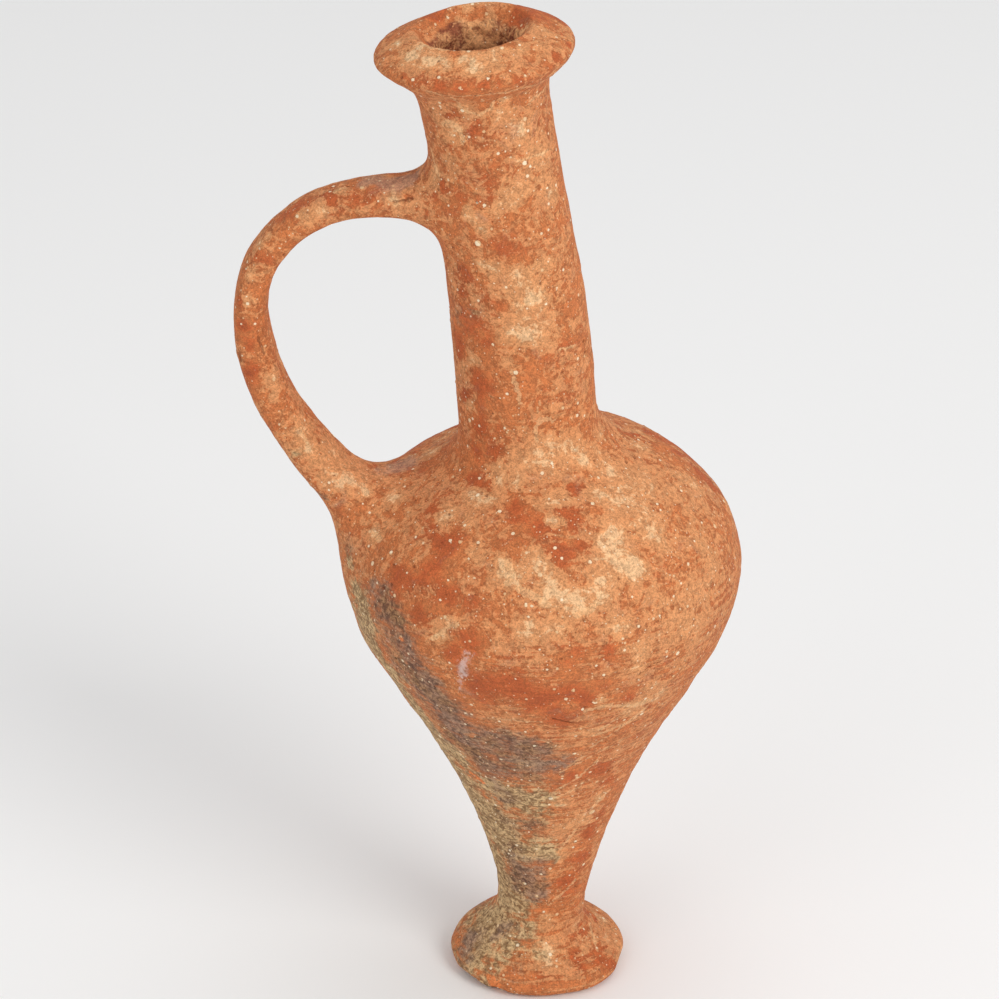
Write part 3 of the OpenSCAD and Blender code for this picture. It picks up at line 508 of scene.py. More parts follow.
CURLS = [([(-21.8, -18.3, 223.3), (-19.3, -18.4, 222.5), (-16.2, -19, 222.4), (-13.1, -19.7, 222.9), (-10, -19.5, 223.1), (-7, -18.6, 223), (-3.9,
    -17.2, 223.2), (-0.9, -15, 223.1), (1.8, -12, 223)], 0.34), ([(-16.9, -18.1, 221.7), (-15.4, -14.3, 218.2), (-13.7, -13.9, 216.5), (-11.3, -14,
    216.1), (-9.2, -14.2, 217.8), (-7.9, -15.1, 220)], 0.4), ([(-19.1, -10.7, 212.6), (-17.6, -11.9, 213.8), (-15.9, -12.5, 212.7), (-15.1, -12.7,
    211), (-14.7, -12.7, 209.2)], 0.6), ([(-21.9, -5.4, 204.3), (-21.3, -6.1, 201.2), (-20, -8.2, 199.1)], 0.5), ([(-4, -14.6, 170.9), (-1, -14,
    173.6), (2.1, -12.5, 175.3)], 0.32), ([(-4.9, -14.9, 157), (-4.1, -15, 154), (-3.2, -15.1, 150)], 0.5), ([(0.4, -15.1, 140.9), (-0.1, -15.1,
    143.3), (0.6, -14.9, 145.1), (2.3, -14.4, 145.9), (3.6, -14, 145.2)], 0.5), ([(0.6, -14.8, 147.5), (1, -14.6, 150.3)], 0.35), ([(-10, -35.9, 84),
    (-5.2, -37.3, 84.3), (1.3, -37.7, 84.2)], 0.35), ([(-5.1, -28.4, 68.9), (-1.6, -28.3, 67.9), (2.4, -28.7, 68.4)], 1), ([(11, -38.3, 87.6), (16.3,
    -36.6, 87.9), (20.6, -33.2, 85.7), (24.5, -30.6, 85.7)], 0.6), ([(14.2, -32.3, 79.1), (19.6, -32.6, 83.8)], 0.4), ([(12, -29.2, 72.6), (18.5,
    -29.6, 78), (24.6, -28.8, 83.1)], 0.4), ([(8.7, -26.7, 66.8), (14.2, -26.7, 70.1), (19.6, -25.4, 73)], 0.35), ([(5.4, -26.3, 64.7), (10.9, -27.8,
    69.7)], 0.35), ([(4.2, -23, 58), (9.8, -23.8, 62.2), (14.2, -25.1, 67.6)], 0.35), ([(0.9, -20.5, 52.3), (5.3, -21.6, 55.6), (9.8, -21.7, 58.3)],
    0.35), ([(12.4, -31.9, 77.3), (22.8, -28.1, 80.2)], 0.35), ([(-12.7, -13, 49.1), (-8.3, -12.7, 41.1)], 0.35), ([(-14, -7.4, 44.1), (-9.5, -10.1,
    37.9), (-7.2, -10.8, 34.6)], 0.35), ([(-29.8, -26.6, 90.4), (-25, -27.3, 84.6), (-21.7, -29.1, 83.2)], 0.5), ([(-26.5, -30.9, 92.4), (-21.5,
    -33.8, 90.2), (-18.2, -34.3, 87.5)], 0.4), ([(-6.4, -33.1, 77.3), (2.2, -32.2, 74.3)], 0.3), ([(-7.5, -34.8, 80.9), (-1, -34.3, 78.1), (4.4,
    -33.3, 76.5)], 0.3), ([(16.4, -14.5, 52.9), (10.8, -15.9, 47.2)], 0.4), ([(8.6, -15.2, 42.8), (5.2, -14.1, 36.8)], 0.4), ([(11.9, -1.4, 8.6),
    (13.6, -7.7, 5.9)], 0.5), ([(2.4, -10, 19.5), (5.1, -9.7, 22), (8.5, -8.6, 25.4)], 0.4), ([(-35.5, -13.8, 118), (-33.6, -17.1, 117.3)], 0.7),
    ([(-7.2, -36.1, 119.5), (-5.9, -34.4, 121.6), (-4.6, -36.3, 120.1), (-5.4, -38, 118.1)], 0.8), ([(-2.9, -39, 117.4), (0.3, -40.1, 116.4), (3.1,
    -41, 114.7)], 0.9), ([(8.8, -41.1, 112.6), (12, -40.1, 113.5), (13.7, -39.2, 114.5)], 0.7), ([(-21.8, -37, 104), (-20, -37.9, 105.9), (-17.9,
    -38.6, 108.1), (-16.1, -39.1, 109.1)], 0.6), ([(-1, -9.8, 217.7), (2.1, -5, 218.4)], 0.35), ([(-51.1, -5.8, 138.7), (-49.4, -6.3, 134.8)], 0.5),
    ([(-42.5, -2.1, 193), (-40.4, -0.9, 193.7)], 0.5), ([(-30.1, -4.3, 194.6), (-29.4, -6.2, 192)], 0.6), ([(2.7, -6.4, 204.9), (-3.1, -12, 205.1)],
    0.3), ([(8.4, -8.8, 160.5), (5.3, -11.9, 160.9)], 0.35), ([(-23.8, -6.1, 229.1), (-21.6, -9.6, 229.2), (-18.5, -11.4, 229.5), (-13.3, -12.4, 230),
    (-8.7, 7.8, 222.4), (-4.3, 3.2, 226.2), (-1.6, 0.7, 229.9)], 0.34)]
CHALK = [(-13.6, -41, 103.6, 0.65, 0.7), (-14, -40.8, 102, 0.69, 0.9), (-14.5, -40.5, 100.3, 0.77, 1), (-14.9, -39.9, 98.5, 0.82, 1.1), (-15.4, -39.3,
    96.6, 0.73, 1), (-15.6, -38.6, 94.8, 0.65, 0.9), (-15.7, -38, 92.9, 0.56, 0.8), (-15.3, -37.6, 91.2, 0.56, 0.7), (-14.9, -37, 89.3, 0.52, 0.5),
    (-12.3, -40.8, 98.3, 0.47, 0.45), (-11.5, -40.6, 96.2, 0.43, 0.35), (11.9, -15.4, 47.7, 1.08, 0.6), (-32.4, -27, 98.1, 0.86, 0.4)]
GRITS = [(-11.9, -13.2, 186.5, 0.71), (12.4, -15, 47.4, 0.77), (-4.1, -14.9, 156.9, 0.56), (-14.2, -9.3, 142.6, 0.54), (11.9, -34.1, 121.6, 0.47),
    (-1, -10.9, 203.2, 0.39), (-1.2, -12.8, 187.3, 0.37), (2.5, -8.5, 197.1, 0.37), (-6.7, -12, 230.3, 0.47), (-9.4, -19.5, 226.6, 0.39), (-15.1,
    -20.6, 225, 0.37), (-24.9, -16.4, 225, 0.43), (-1.8, -17.6, 226.5, 0.34), (3.6, -16, 135.8, 0.43), (13.5, -15.4, 132, 0.39), (8.5, -12.6, 137.3,
    0.34), (-6.5, -14.6, 143.7, 0.34), (-2.6, -15.2, 144.1, 0.32), (-8.7, -13.7, 140.6, 0.37), (26.2, -16.8, 126.4, 0.39), (22.5, 6.5, 130.6, 0.32),
    (-1.6, -40.8, 114.8, 0.49), (-0.3, -41, 114.7, 0.39), (-1.1, -41.8, 112.5, 0.39), (-18.9, -37.5, 109.9, 0.43), (-12.7, -35.3, 118.2, 0.34),
    (-18.3, -33.9, 116.9, 0.34), (-33.9, -24, 110.6, 0.37), (-27.3, -28.4, 115.5, 0.32), (-20, -35.8, 113.1, 0.34), (-15.9, -39.3, 108.9, 0.32), (5,
    -42.6, 109.3, 0.37), (19, -39.5, 106.1, 0.39), (11.2, -42.4, 104.8, 0.34), (8.2, -43, 103.7, 0.32), (-9.3, -42.3, 102.9, 0.34), (22.5, -35.9,
    93.7, 0.34), (9.1, -24, 62, 0.47), (5.4, -23.3, 59, 0.43), (9.9, -34.8, 81, 0.41), (5.4, -27, 65.8, 0.34), (-1.2, -25.1, 61.8, 0.34), (0.9, -12.2,
    29.2, 0.39), (-2.8, -10.4, 25.6, 0.45), (-3.9, -9.3, 23, 0.39), (-0.1, -10.4, 22.1, 0.43), (8.6, -13.7, 39, 0.41), (8.1, -13.1, 37, 0.37), (13.5,
    -12.7, 44.4, 0.41), (-5.8, -38.7, 87.2, 0.32), (-3.2, -32.6, 75.6, 0.32), (0.4, -9, 207.8, 0.32), (-16.8, -11.8, 209, 0.32), (-14.2, -12.3, 199.9,
    0.32), (-5.1, -12.8, 206.1, 0.34), (-23.5, -6, 196, 0.3), (-54.3, -5.5, 181.5, 0.34), (-56.6, -0.5, 184.5, 0.32), (-62.6, -5.8, 165.1, 0.32),
    (15.9, 9.1, 133.4, 0.28), (-7.5, -14.3, 150.5, 0.28)]
CHIP = [(-12.9, -18.9, 58.7, 1.08), (-12, -18.6, 57.3, 0.86), (-10.7, -16.7, 3.2, 1.29), (-8.8, -17.9, 2.9, 1.08), (-1.8, -19.2, 49.9, 0.65), (-28.3,
    -32.1, 101.1, 0.65), (7.2, -3, 227.9, 0.65), (-6.2, -39.7, 89.5, 0.43), (-14.4, -17.9, 59.1, 0.86)]
# the far side has no listed marks: torn areas from noise, about as many as in front
def torn(P, size, seed, share, top):
    f = fbm(P, size, 4, seed) + 0.35 * fbm(P, size * 0.4, 3, seed + 7)
    lo, hi = np.percentile(f, [100 * (1 - share), 100 * (1 - share * 0.25)])
    return top * smooth(float(lo), float(hi), f)

def area_mask(P, blobs, seed, grow=1.0):
    """Sum of soft round areas with torn edges."""
    W = P + np.stack([fbm(P, 5, 3, seed), fbm(P, 5, 3, seed + 50), fbm(P, 5, 3, seed + 90)], -1).astype(F32) * F32(1.5)
    m = np.zeros(len(P), F32)
    for x, y, z, r, s in blobs:
        r = r * grow
        d = W - np.array([x, y, z], F32)
        q = (d * d).sum(1)
        k = q < (r * 2.6) ** 2
        m[k] += (s * np.exp(-q[k] / (1.1 * r * r))).astype(F32)
    return np.clip(m, 0, 1.3)

def spot_field(n, tree, C, R, reach=0.9):
    """Signed distance into the nearest spot, -1 far from all of them."""
    g = np.full(n, -1.0, F32)
    for c, r in zip(C, R):
        for co, i, d in tree.find_range(c, r + reach):
            v = r - d
            if v > g[i]:
                g[i] = v
    return g

def along(lines, step=0.3):
    """Points along each polyline, pulled onto the surface, with their radii."""
    C, R = [], []
    for pts, r in lines:
        for a, b in zip(pts[:-1], pts[1:]):
            a, b = np.array(a), np.array(b)
            n = int(np.linalg.norm(b - a) / step) + 1
            for t in np.linspace(0, 1, n):
                C.append(tree.find(a * (1 - t) + b * t)[0]); R.append(r * (0.75 + 0.4 * float(np.sin(len(C) * 0.9)) ** 2))
    return C, R

def masks(V, N):
    back = smooth(-3, 9, V[:, 1])
    # the fire-marked side: round the pot by angle, 0 at -X and growing toward the front
    az = np.degrees(np.arctan2(-V[:, 1], BX - V[:, 0])) + fbm(V, 14, 3, 300) * 26 + fbm(V, 5, 3, 305) * 9
    z = V[:, 2] + fbm(V, 16, 3, 310) * 16
    tall = smooth(14, 26, z) * (1 - smooth(84, 116, z))
    tear = np.clip(0.62 + 0.75 * fbm(V, 9, 4, 320), 0, 1.1)
    dun = tall * smooth(-86, -12, az) * (1 - smooth(24, 42, az)) * (0.36 + 0.5 * smooth(-18, 4, az)) * tear * 1.35
    dun = dun + 0.42 * smooth(12, 22, z) * (1 - smooth(56, 74, z)) * smooth(-20, 20, az) * (1 - smooth(66, 104, az)) * (0.8 + 0.6 * fbm(V, 6, 3, 340))
    dun = dun + 0.5 * (1 - smooth(6, 14, z)) * smooth(-70, -30, az) * (1 - smooth(30, 60, az)) * tear * 1.4
    turn = az + 100 - (z - 70) * 0.9                       # a faint cloud running down round the back
    dusk = 0.40 * tall * np.exp(-((turn - 10) / 24) ** 2) * (1 - smooth(-20, -6, az)) * tear * 1.4
    rl, s = lip_frame(V)
    wall = inside_of(V) & (V[:, 2] > 150)
    out = {
        "soot": area_mask(V, SOOT_F, 100, 1.45) * (0.8 + 0.5 * fbm(V, 6, 3, 330)) + dusk, "khaki": area_mask(V, KHAKI_F, 130, 1.35) + np.clip(dun, 0, 1) * 0.8,
        "pale": area_mask(V, PALE_F, 160) + back * torn(V, 13, 350, 0.30, 0.75), "redder": area_mask(V, RED_F, 190) + back * torn(V, 11, 370, 0.32, 0.75),
        "greyed": area_mask(V, GREY_F, 220, 1.3),
        "dirt": np.where(wall, 1 - smooth(7.2, 9.6, s + fbm(V, 2.2, 3, 15) * 1.3), 0).astype(F32),
        "curl": spot_field(len(V), tree, *along(CURLS)), "chalk": area_mask(V, CHALK, 270, 1.35),
        "chip": area_mask(V, [(*c[:4], 1.0) for c in CHIP], 250),
    }
    return out

# ---------------------------------------------------------------- mesh, relief
V, T = extract()
V = settle(V)
if np.einsum("ij,ij->i", normals(V, T)[::50], gradient(V[::50])).mean() < 0:
    T = T[:, ::-1].copy()
N = normals(V, T)

def inside_of(P):
    """True on the passage's wall"""
    f, c, _, _, _ = parts(warp(P))
    return -c > f - 0.35




# ---------------------------------------------------------------- part along the joints
Z_FOOT, Z_STEM, Z_BELLY, Z_SEAT, Z_ROOT, Z_IN = 9.4, 18.8, 102.0, 130.0, 140.6, 199.0
E1 = (np.array([-21.5, 0, 188.0]), np.array([10.0, 10.8, 12.6]))
E2 = (np.array([-40.5, 0, 120.8]), np.array([11.0, 11.4, 12.6]))
def ell(P, E):
    return np.sqrt((((P - E[0]) / E[1]) ** 2).sum(1)) - 1
def lip_s(P):
    return lip_frame(P)[1].astype(float) - 0.35

def build_pieces(V, T, data):
    fields = [lambda P: P[:, 2] - Z_FOOT, lambda P: P[:, 2] - Z_STEM, lambda P: P[:, 2] - Z_BELLY,
              lambda P: P[:, 2] - Z_SEAT, lambda P: P[:, 2] - Z_ROOT, lip_s,
              lambda P: P[:, 2] - Z_IN, lambda P: ell(P, E1), lambda P: ell(P, E2)]
    for fn in fields:
        V, T, _, data = cut(V, T, fn(V).astype(float), data)
    C = V[T].mean(1)
    f, c, fh, u, nn = parts(warp(C))
    ins = (-c > f - 0.35) & (C[:, 2] > 150)
    z = C[:, 2]
    lab = np.full(len(T), -1)
    s = lip_s(C)
    lab[z < Z_FOOT] = 0
    lab[(z > Z_FOOT) & (z < Z_STEM)] = 1
    lab[(z > Z_STEM) & (z < Z_BELLY)] = 2
    lab[(z > Z_BELLY) & (z < Z_SEAT)] = 3
    lab[(z > Z_SEAT) & (z < Z_ROOT)] = 4
    lab[(z > Z_ROOT) & (s < 0)] = 5
    lab[s > 0] = 6
    han = (fh < 2.6) & (u > 1.1) & (u < 8.9) & (C[:, 0] < -26.5) & ~ins
    lab[han] = 7
    lab[(ell(C, E1) < 0) & ~ins] = 8
    lab[(ell(C, E2) < 0) & ~ins] = 9
    lab[ins & (z < Z_IN) & (s < 0)] = -1          # the blind end of the meshed passage
    return V, T, lab, data

NAMES = ["foot", "foot_lute", "lower_body", "shoulder", "neck_lute", "neck", "lip", "handle",
         "handle_upper_lute", "handle_lower_lute"]

def inner_ring(z, n=96):
    """A ring of the hollow's wall at a height: the belly, then the passage."""
    t = np.linspace(0, 2 * np.pi, n, endpoint=False)
    k = float(smooth(122, 131, z))
    c = BX * (1 - k) + float(neck_at(z)[0]) * k
    rc = float(pchip([p[0] for p in CAV], [p[1] for p in CAV], np.array([min(z, 129.5)]))[0])
    rb = float(neck_at(z)[2])
    r = max(rc, rb) if z < 129.5 else rb
    if 122 < z < 134:
        r = max(r, rb + 3 * (1 - float(smooth(126, 134, z))))
    P = np.stack([c + r * np.cos(t), r * np.sin(t), np.full(n, z)], 1)
    P[:, :2] += (0.18 * np.sin(z / 2.1) * np.stack([np.cos(t), np.sin(t)], 1))
    return P.astype(F32)

def tube(zs):
    """Wall of the hollow through these heights, facing the hollow, low end first."""
    R = [inner_ring(z) for z in zs]
    n = len(R[0]); P = np.concatenate(R)
    j = np.arange(n); F = []
    for i in range(len(zs) - 1):
        a, b = i * n + j, i * n + (j + 1) % n
        c, d = (i + 1) * n + (j + 1) % n, (i + 1) * n + j
        F += [np.stack([a, c, b], 1), np.stack([a, d, c], 1)]
    return P, np.concatenate(F), n

def close(V, T, name):
    """Close one piece. Returns vertices, faces, and how many faces belong to the seen surface."""
    used = np.unique(T)
    remap = np.full(len(V), -1); remap[used] = np.arange(len(used))
    P, F = V[used], remap[T]
    surf = len(F)
    extra_f = []
    spans = {"lower_body": (27.2, Z_BELLY), "shoulder": (Z_BELLY, Z_SEAT), "neck_lute": (Z_SEAT, Z_ROOT),
             "neck": (Z_ROOT, Z_IN)}
    L = loops(F)
    tube_lo = tube_hi = None
    if name in spans:
        a, b = spans[name]
        zs = np.linspace(a, b, max(2, int((b - a) / 2.2)))
        W, G, n = tube(zs)
        base = len(P)
        P = np.concatenate([P, W]); extra_f.append(G + base)
        tube_lo = base + np.arange(n); tube_hi = base + (len(zs) - 1) * n + np.arange(n)
        if name == "lower_body":             # the pointed bottom of the hollow
            P = np.concatenate([P, [[BX, 0, 26.4]]]).astype(F32)
            j = np.arange(n)
            extra_f.append(np.stack([np.full(n, len(P) - 1), tube_lo[j], tube_lo[(j + 1) % n]], 1))
    info = [(P[l].mean(0), l) for l in L if len(l) > 12]
    def add_fan(l):
        nonlocal P
        c, f = fan(P, l)
        P = np.concatenate([P, [c]]).astype(F32); extra_f.append(f)
    def level(l, z):
        return abs(P[l][:, 2] - z).max() < 0.02
    rest = []
    for c, l in info:
        hit = False
        for z in (Z_FOOT, Z_STEM):
            if level(l, z):
                add_fan(l); hit = True
        for z, ring, which in ((Z_BELLY, None, 0), (Z_SEAT, None, 0), (Z_ROOT, None, 0), (Z_IN, None, 0)):
            if level(l, z) and name in spans:
                ring = tube_lo if abs(z - spans[name][0]) < 0.01 else tube_hi
                ax = float(c[0])
                lo = abs(z - spans[name][0]) < 0.01
                rr = ring if not lo else ring
                extra_f.append(zip_to(P, l, rr, ax)); hit = True
        if not hit:
            rest.append((c, l))
    # loops in the plane under the lip: an outer and an inner one
    under = [(c, l) for c, l in rest if abs(lip_s(P[l])).max() < 0.03]
    other = [(c, l) for c, l in rest if not abs(lip_s(P[l])).max() < 0.03]
    if len(under) == 2:
        under.sort(key=lambda q: -len(q[1]))
        extra_f.append(zip_to(P, under[0][1], under[1][1], float(under[0][0][0])))
    for c, l in other:
        add_fan(l)
    X = np.concatenate(extra_f) if extra_f else np.zeros((0, 3), int)
    return P.astype(F32), np.concatenate([F, X]), surf, used

def zip_to(P, A, B, ax):
    """Band from loop A (which fixes the direction of the faces) to loop B."""
    def start(L):
        t = angles(P, L, ax)
        L = np.roll(L, -int(np.argmin(np.abs(t))))
        t = np.unwrap(angles(P, np.append(L, L[0]), ax))
        return L, t
    A, ta = start(A); B, tb = start(B)
    sa = 1.0 if ta[-1] > ta[0] else -1.0
    if (tb[-1] > tb[0]) != (sa > 0):
        B = np.roll(B[::-1], 1)
        t = np.unwrap(angles(P, np.append(B, B[0]), ax)); tb = t
    A2, B2 = np.append(A, A[0]), np.append(B, B[0])
    ta, tb = (ta - ta[0]) * sa, (tb - tb[0]) * sa
    i = j = 0; out = []
    while i < len(A2) - 1 or j < len(B2) - 1:
        if j >= len(B2) - 1 or (i < len(A2) - 1 and ta[i + 1] <= tb[j + 1]):
            out.append((A2[i], A2[i + 1], B2[j])); i += 1
        else:
            out.append((A2[i], B2[j + 1], B2[j])); j += 1
    return np.array(out)

def check_closed(F):
    E = np.concatenate([F[:, [0, 1]], F[:, [1, 2]], F[:, [2, 0]]])
    k = E[:, 0].astype(np.int64) * (F.max() + 1) + E[:, 1]
    r = E[:, 1].astype(np.int64) * (F.max() + 1) + E[:, 0]
    return len(E) - np.isin(k, r).sum(), len(k) - len(np.unique(k))

def make_object(name, P, F, surf, Nv, attrs, material):
    me = bpy.data.meshes.new(name)
    me.vertices.add(len(P)); me.vertices.foreach_set("co", (P.astype(float) * 0.001).ravel().astype(F32))
    me.loops.add(len(F) * 3); me.loops.foreach_set("vertex_index", F.ravel().astype(np.int32))
    me.polygons.add(len(F))
    me.polygons.foreach_set("loop_start", (np.arange(len(F)) * 3).astype(np.int32))
    me.polygons.foreach_set("use_smooth", np.ones(len(F), bool))
    me.update(calc_edges=True)
    for k, a in attrs.items():
        at = me.attributes.new(k, "FLOAT", "POINT")
        full = np.zeros(len(P), F32); full[:len(a)] = a
        at.data.foreach_set("value", full)
    LN = np.empty((len(F), 3, 3), F32)
    LN[:surf] = Nv[F[:surf]]
    G = F[surf:]
    if len(G):
        fn = np.cross(P[G[:, 1]] - P[G[:, 0]], P[G[:, 2]] - P[G[:, 0]])
        fn = fn / np.maximum(np.linalg.norm(fn, axis=1), 1e-9)[:, None]
        # smooth where the closing faces make the wall of the hollow
        Nn = np.zeros((len(P), 3))
        for a in range(3):
            for c in range(3):
                Nn[:, c] += np.bincount(G[:, a], fn[:, c], len(P))
        Nn /= np.maximum(np.linalg.norm(Nn, axis=1), 1e-9)[:, None]
        sm = Nn[G]
        keep = np.einsum("ijk,ik->ij", sm, fn) > 0.85
        LN[surf:] = np.where(keep[..., None], sm, fn[:, None, :])
    me.normals_split_custom_set(LN.reshape(-1, 3))
    me.materials.append(material)
    ob = bpy.data.objects.new(name, me)
    bpy.context.scene.collection.objects.link(ob)
    return ob
# ---------------------------------------------------------------- small relief on the clay
tree = KDTree(len(V))
for i, v in enumerate(V.tolist()):
    tree.insert(v, i)
tree.balance()

def spread(count, rad, seed):
    """Positions scattered over the surface, with a radius for each."""
    r = np.random.default_rng(seed)
    pick = r.integers(0, len(T), count); w = r.dirichlet((1, 1, 1), count)
    return (V[T[pick]] * w[:, :, None]).sum(1), rad(r.random(count))

# grit: white stone showing through; pits: where grit or burnt-out chaff is gone
GC, GR = spread(520, lambda q: 0.24 + 0.34 * q ** 4, 21)
GC = np.concatenate([GC, [g[:3] for g in GRITS]]); GR = np.concatenate([GR, [g[3] for g in GRITS]])
PC, PR = spread(620, lambda q: 0.20 + 0.26 * q ** 3, 33)
SCRATCH = [([(-59.6, -6, 160.5), (-58.0, -6, 156.6)], .3), ([(4, -41, 84), (9, -38, 82)], .16), ([(20, -33, 96), (25, -31, 99)], .16),
           ([(-63.6, -4.5, 156.2), (-63.2, -4.8, 154.4)], .5), ([(-40, 8, 190), (-34, 8, 191)], .2), ([(10, 38, 90), (18, 36, 95)], .2),
           ([(-30, -6.2, 192.6), (-26, -6.2, 193.4)], .25)]
c, r = along(SCRATCH, 0.25)
PC = np.concatenate([PC, c]); PR = np.concatenate([PR, r])
grit = spot_field(len(V), tree, GC, GR)
pit = spot_field(len(V), tree, PC, PR)

ground = smooth(0.4, 2.5, V[:, 2])                           # the resting face stays flat
low = 1 - smooth(96, 118, V[:, 2])
ring = vnoise(V * np.array([0.11, 0.11, 1.0], F32), 1.15, 61)     # wiping marks run round the pot
ring2 = vnoise(V * np.array([0.11, 0.11, 1.0], F32), 2.6, 62)
h = (fbm(V, 12, 2, 81) * 0.22 + fbm(V, 4.6, 2, 82) * 0.11 + fbm(V, 1.8, 2, 83) * 0.07
     + (ring * 0.06 + ring2 * 0.07) * (0.35 + 0.65 * low))
_, s = lip_frame(V)
front = smooth(0.2, 0.9, -N[:, 1])
h = h + 0.20 * np.exp(-((s + 0.3 + vnoise(V, 9, 64) * 0.5) / 0.45) ** 2) * (0.4 + 0.6 * front) * (V[:, 2] > 200)   # edge left by the lip's underside
h = h + np.clip((grit + 0.10) * 0.5, 0, 0.20) - np.clip((pit + 0.15) * 1.1, 0, 0.38)
throat = inside_of(V) & (V[:, 2] > 150)
h = h + np.where(throat, (fbm(V, 3.0, 3, 91) * 0.9 - 0.15) * (1 - smooth(7.4, 9.6, s)), 0)
V = (V + N * (h * ground)[:, None]).astype(F32)
N = normals(V, T)
# ---------------------------------------------------------------- fired clay
def lin(r, g, b):
    f = lambda c: (c / 255 / 12.92) if c / 255 <= 0.04045 else ((c / 255 + 0.055) / 1.055) ** 2.4
    return (f(r), f(g), f(b), 1.0)

class Net:
    def __init__(self, tree):
        self.t = tree; self.n = tree.nodes; self.k = tree.links
    def put(self, kind, **props):
        n = self.n.new(kind)
        for a, v in props.items():
            setattr(n, a, v)
        return n
    def feed(self, sock, v):
        if hasattr(v, "is_output"):
            self.k.new(v, sock)
        else:
            sock.default_value = v
    def math(self, op, a, b=0.0, c=None, clamp=False):
        n = self.put("ShaderNodeMath", operation=op, use_clamp=clamp)
        self.feed(n.inputs[0], a); self.feed(n.inputs[1], b)
        if c is not None:
            self.feed(n.inputs[2], c)
        return n.outputs[0]
    def mix(self, f, a, b, mode="MIX"):
        n = self.put("ShaderNodeMix", data_type="RGBA", blend_type=mode, clamp_factor=True)
        self.feed(n.inputs[0], f); self.feed(n.inputs[6], a); self.feed(n.inputs[7], b)
        return n.outputs[2]
    def step(self, v, lo, hi, a=0.0, b=1.0):
        n = self.put("ShaderNodeMapRange", interpolation_type="SMOOTHSTEP")
        self.feed(n.inputs[0], v); self.feed(n.inputs[1], lo); self.feed(n.inputs[2], hi)
        self.feed(n.inputs[3], a); self.feed(n.inputs[4], b)
        return n.outputs[0]
    def attr(self, name):
        return self.put("ShaderNodeAttribute", attribute_type="GEOMETRY", attribute_name=name).outputs["Fac"]
    def scaled(self, vec, s):
        n = self.put("ShaderNodeVectorMath", operation="MULTIPLY")
        self.feed(n.inputs[0], vec); n.inputs[1].default_value = s if isinstance(s, tuple) else (s, s, s)
        return n.outputs[0]
    def noise(self, vec, size, detail=4, rough=0.55, distort=0.0, off=0.0):
        """Noise whose features are about size millimetres across; vec in mm."""
        n = self.put("ShaderNodeTexNoise", noise_dimensions="3D")
        v = vec
        if off:
            a = self.put("ShaderNodeVectorMath", operation="ADD")
            self.feed(a.inputs[0], vec); a.inputs[1].default_value = (off, off * 1.7, off * 0.6); v = a.outputs[0]
        self.feed(n.inputs["Vector"], v)
        n.inputs["Scale"].default_value = 1.0 / size; n.inputs["Detail"].default_value = detail
        n.inputs["Roughness"].default_value = rough; n.inputs["Distortion"].default_value = distort
        return n.outputs["Fac"]

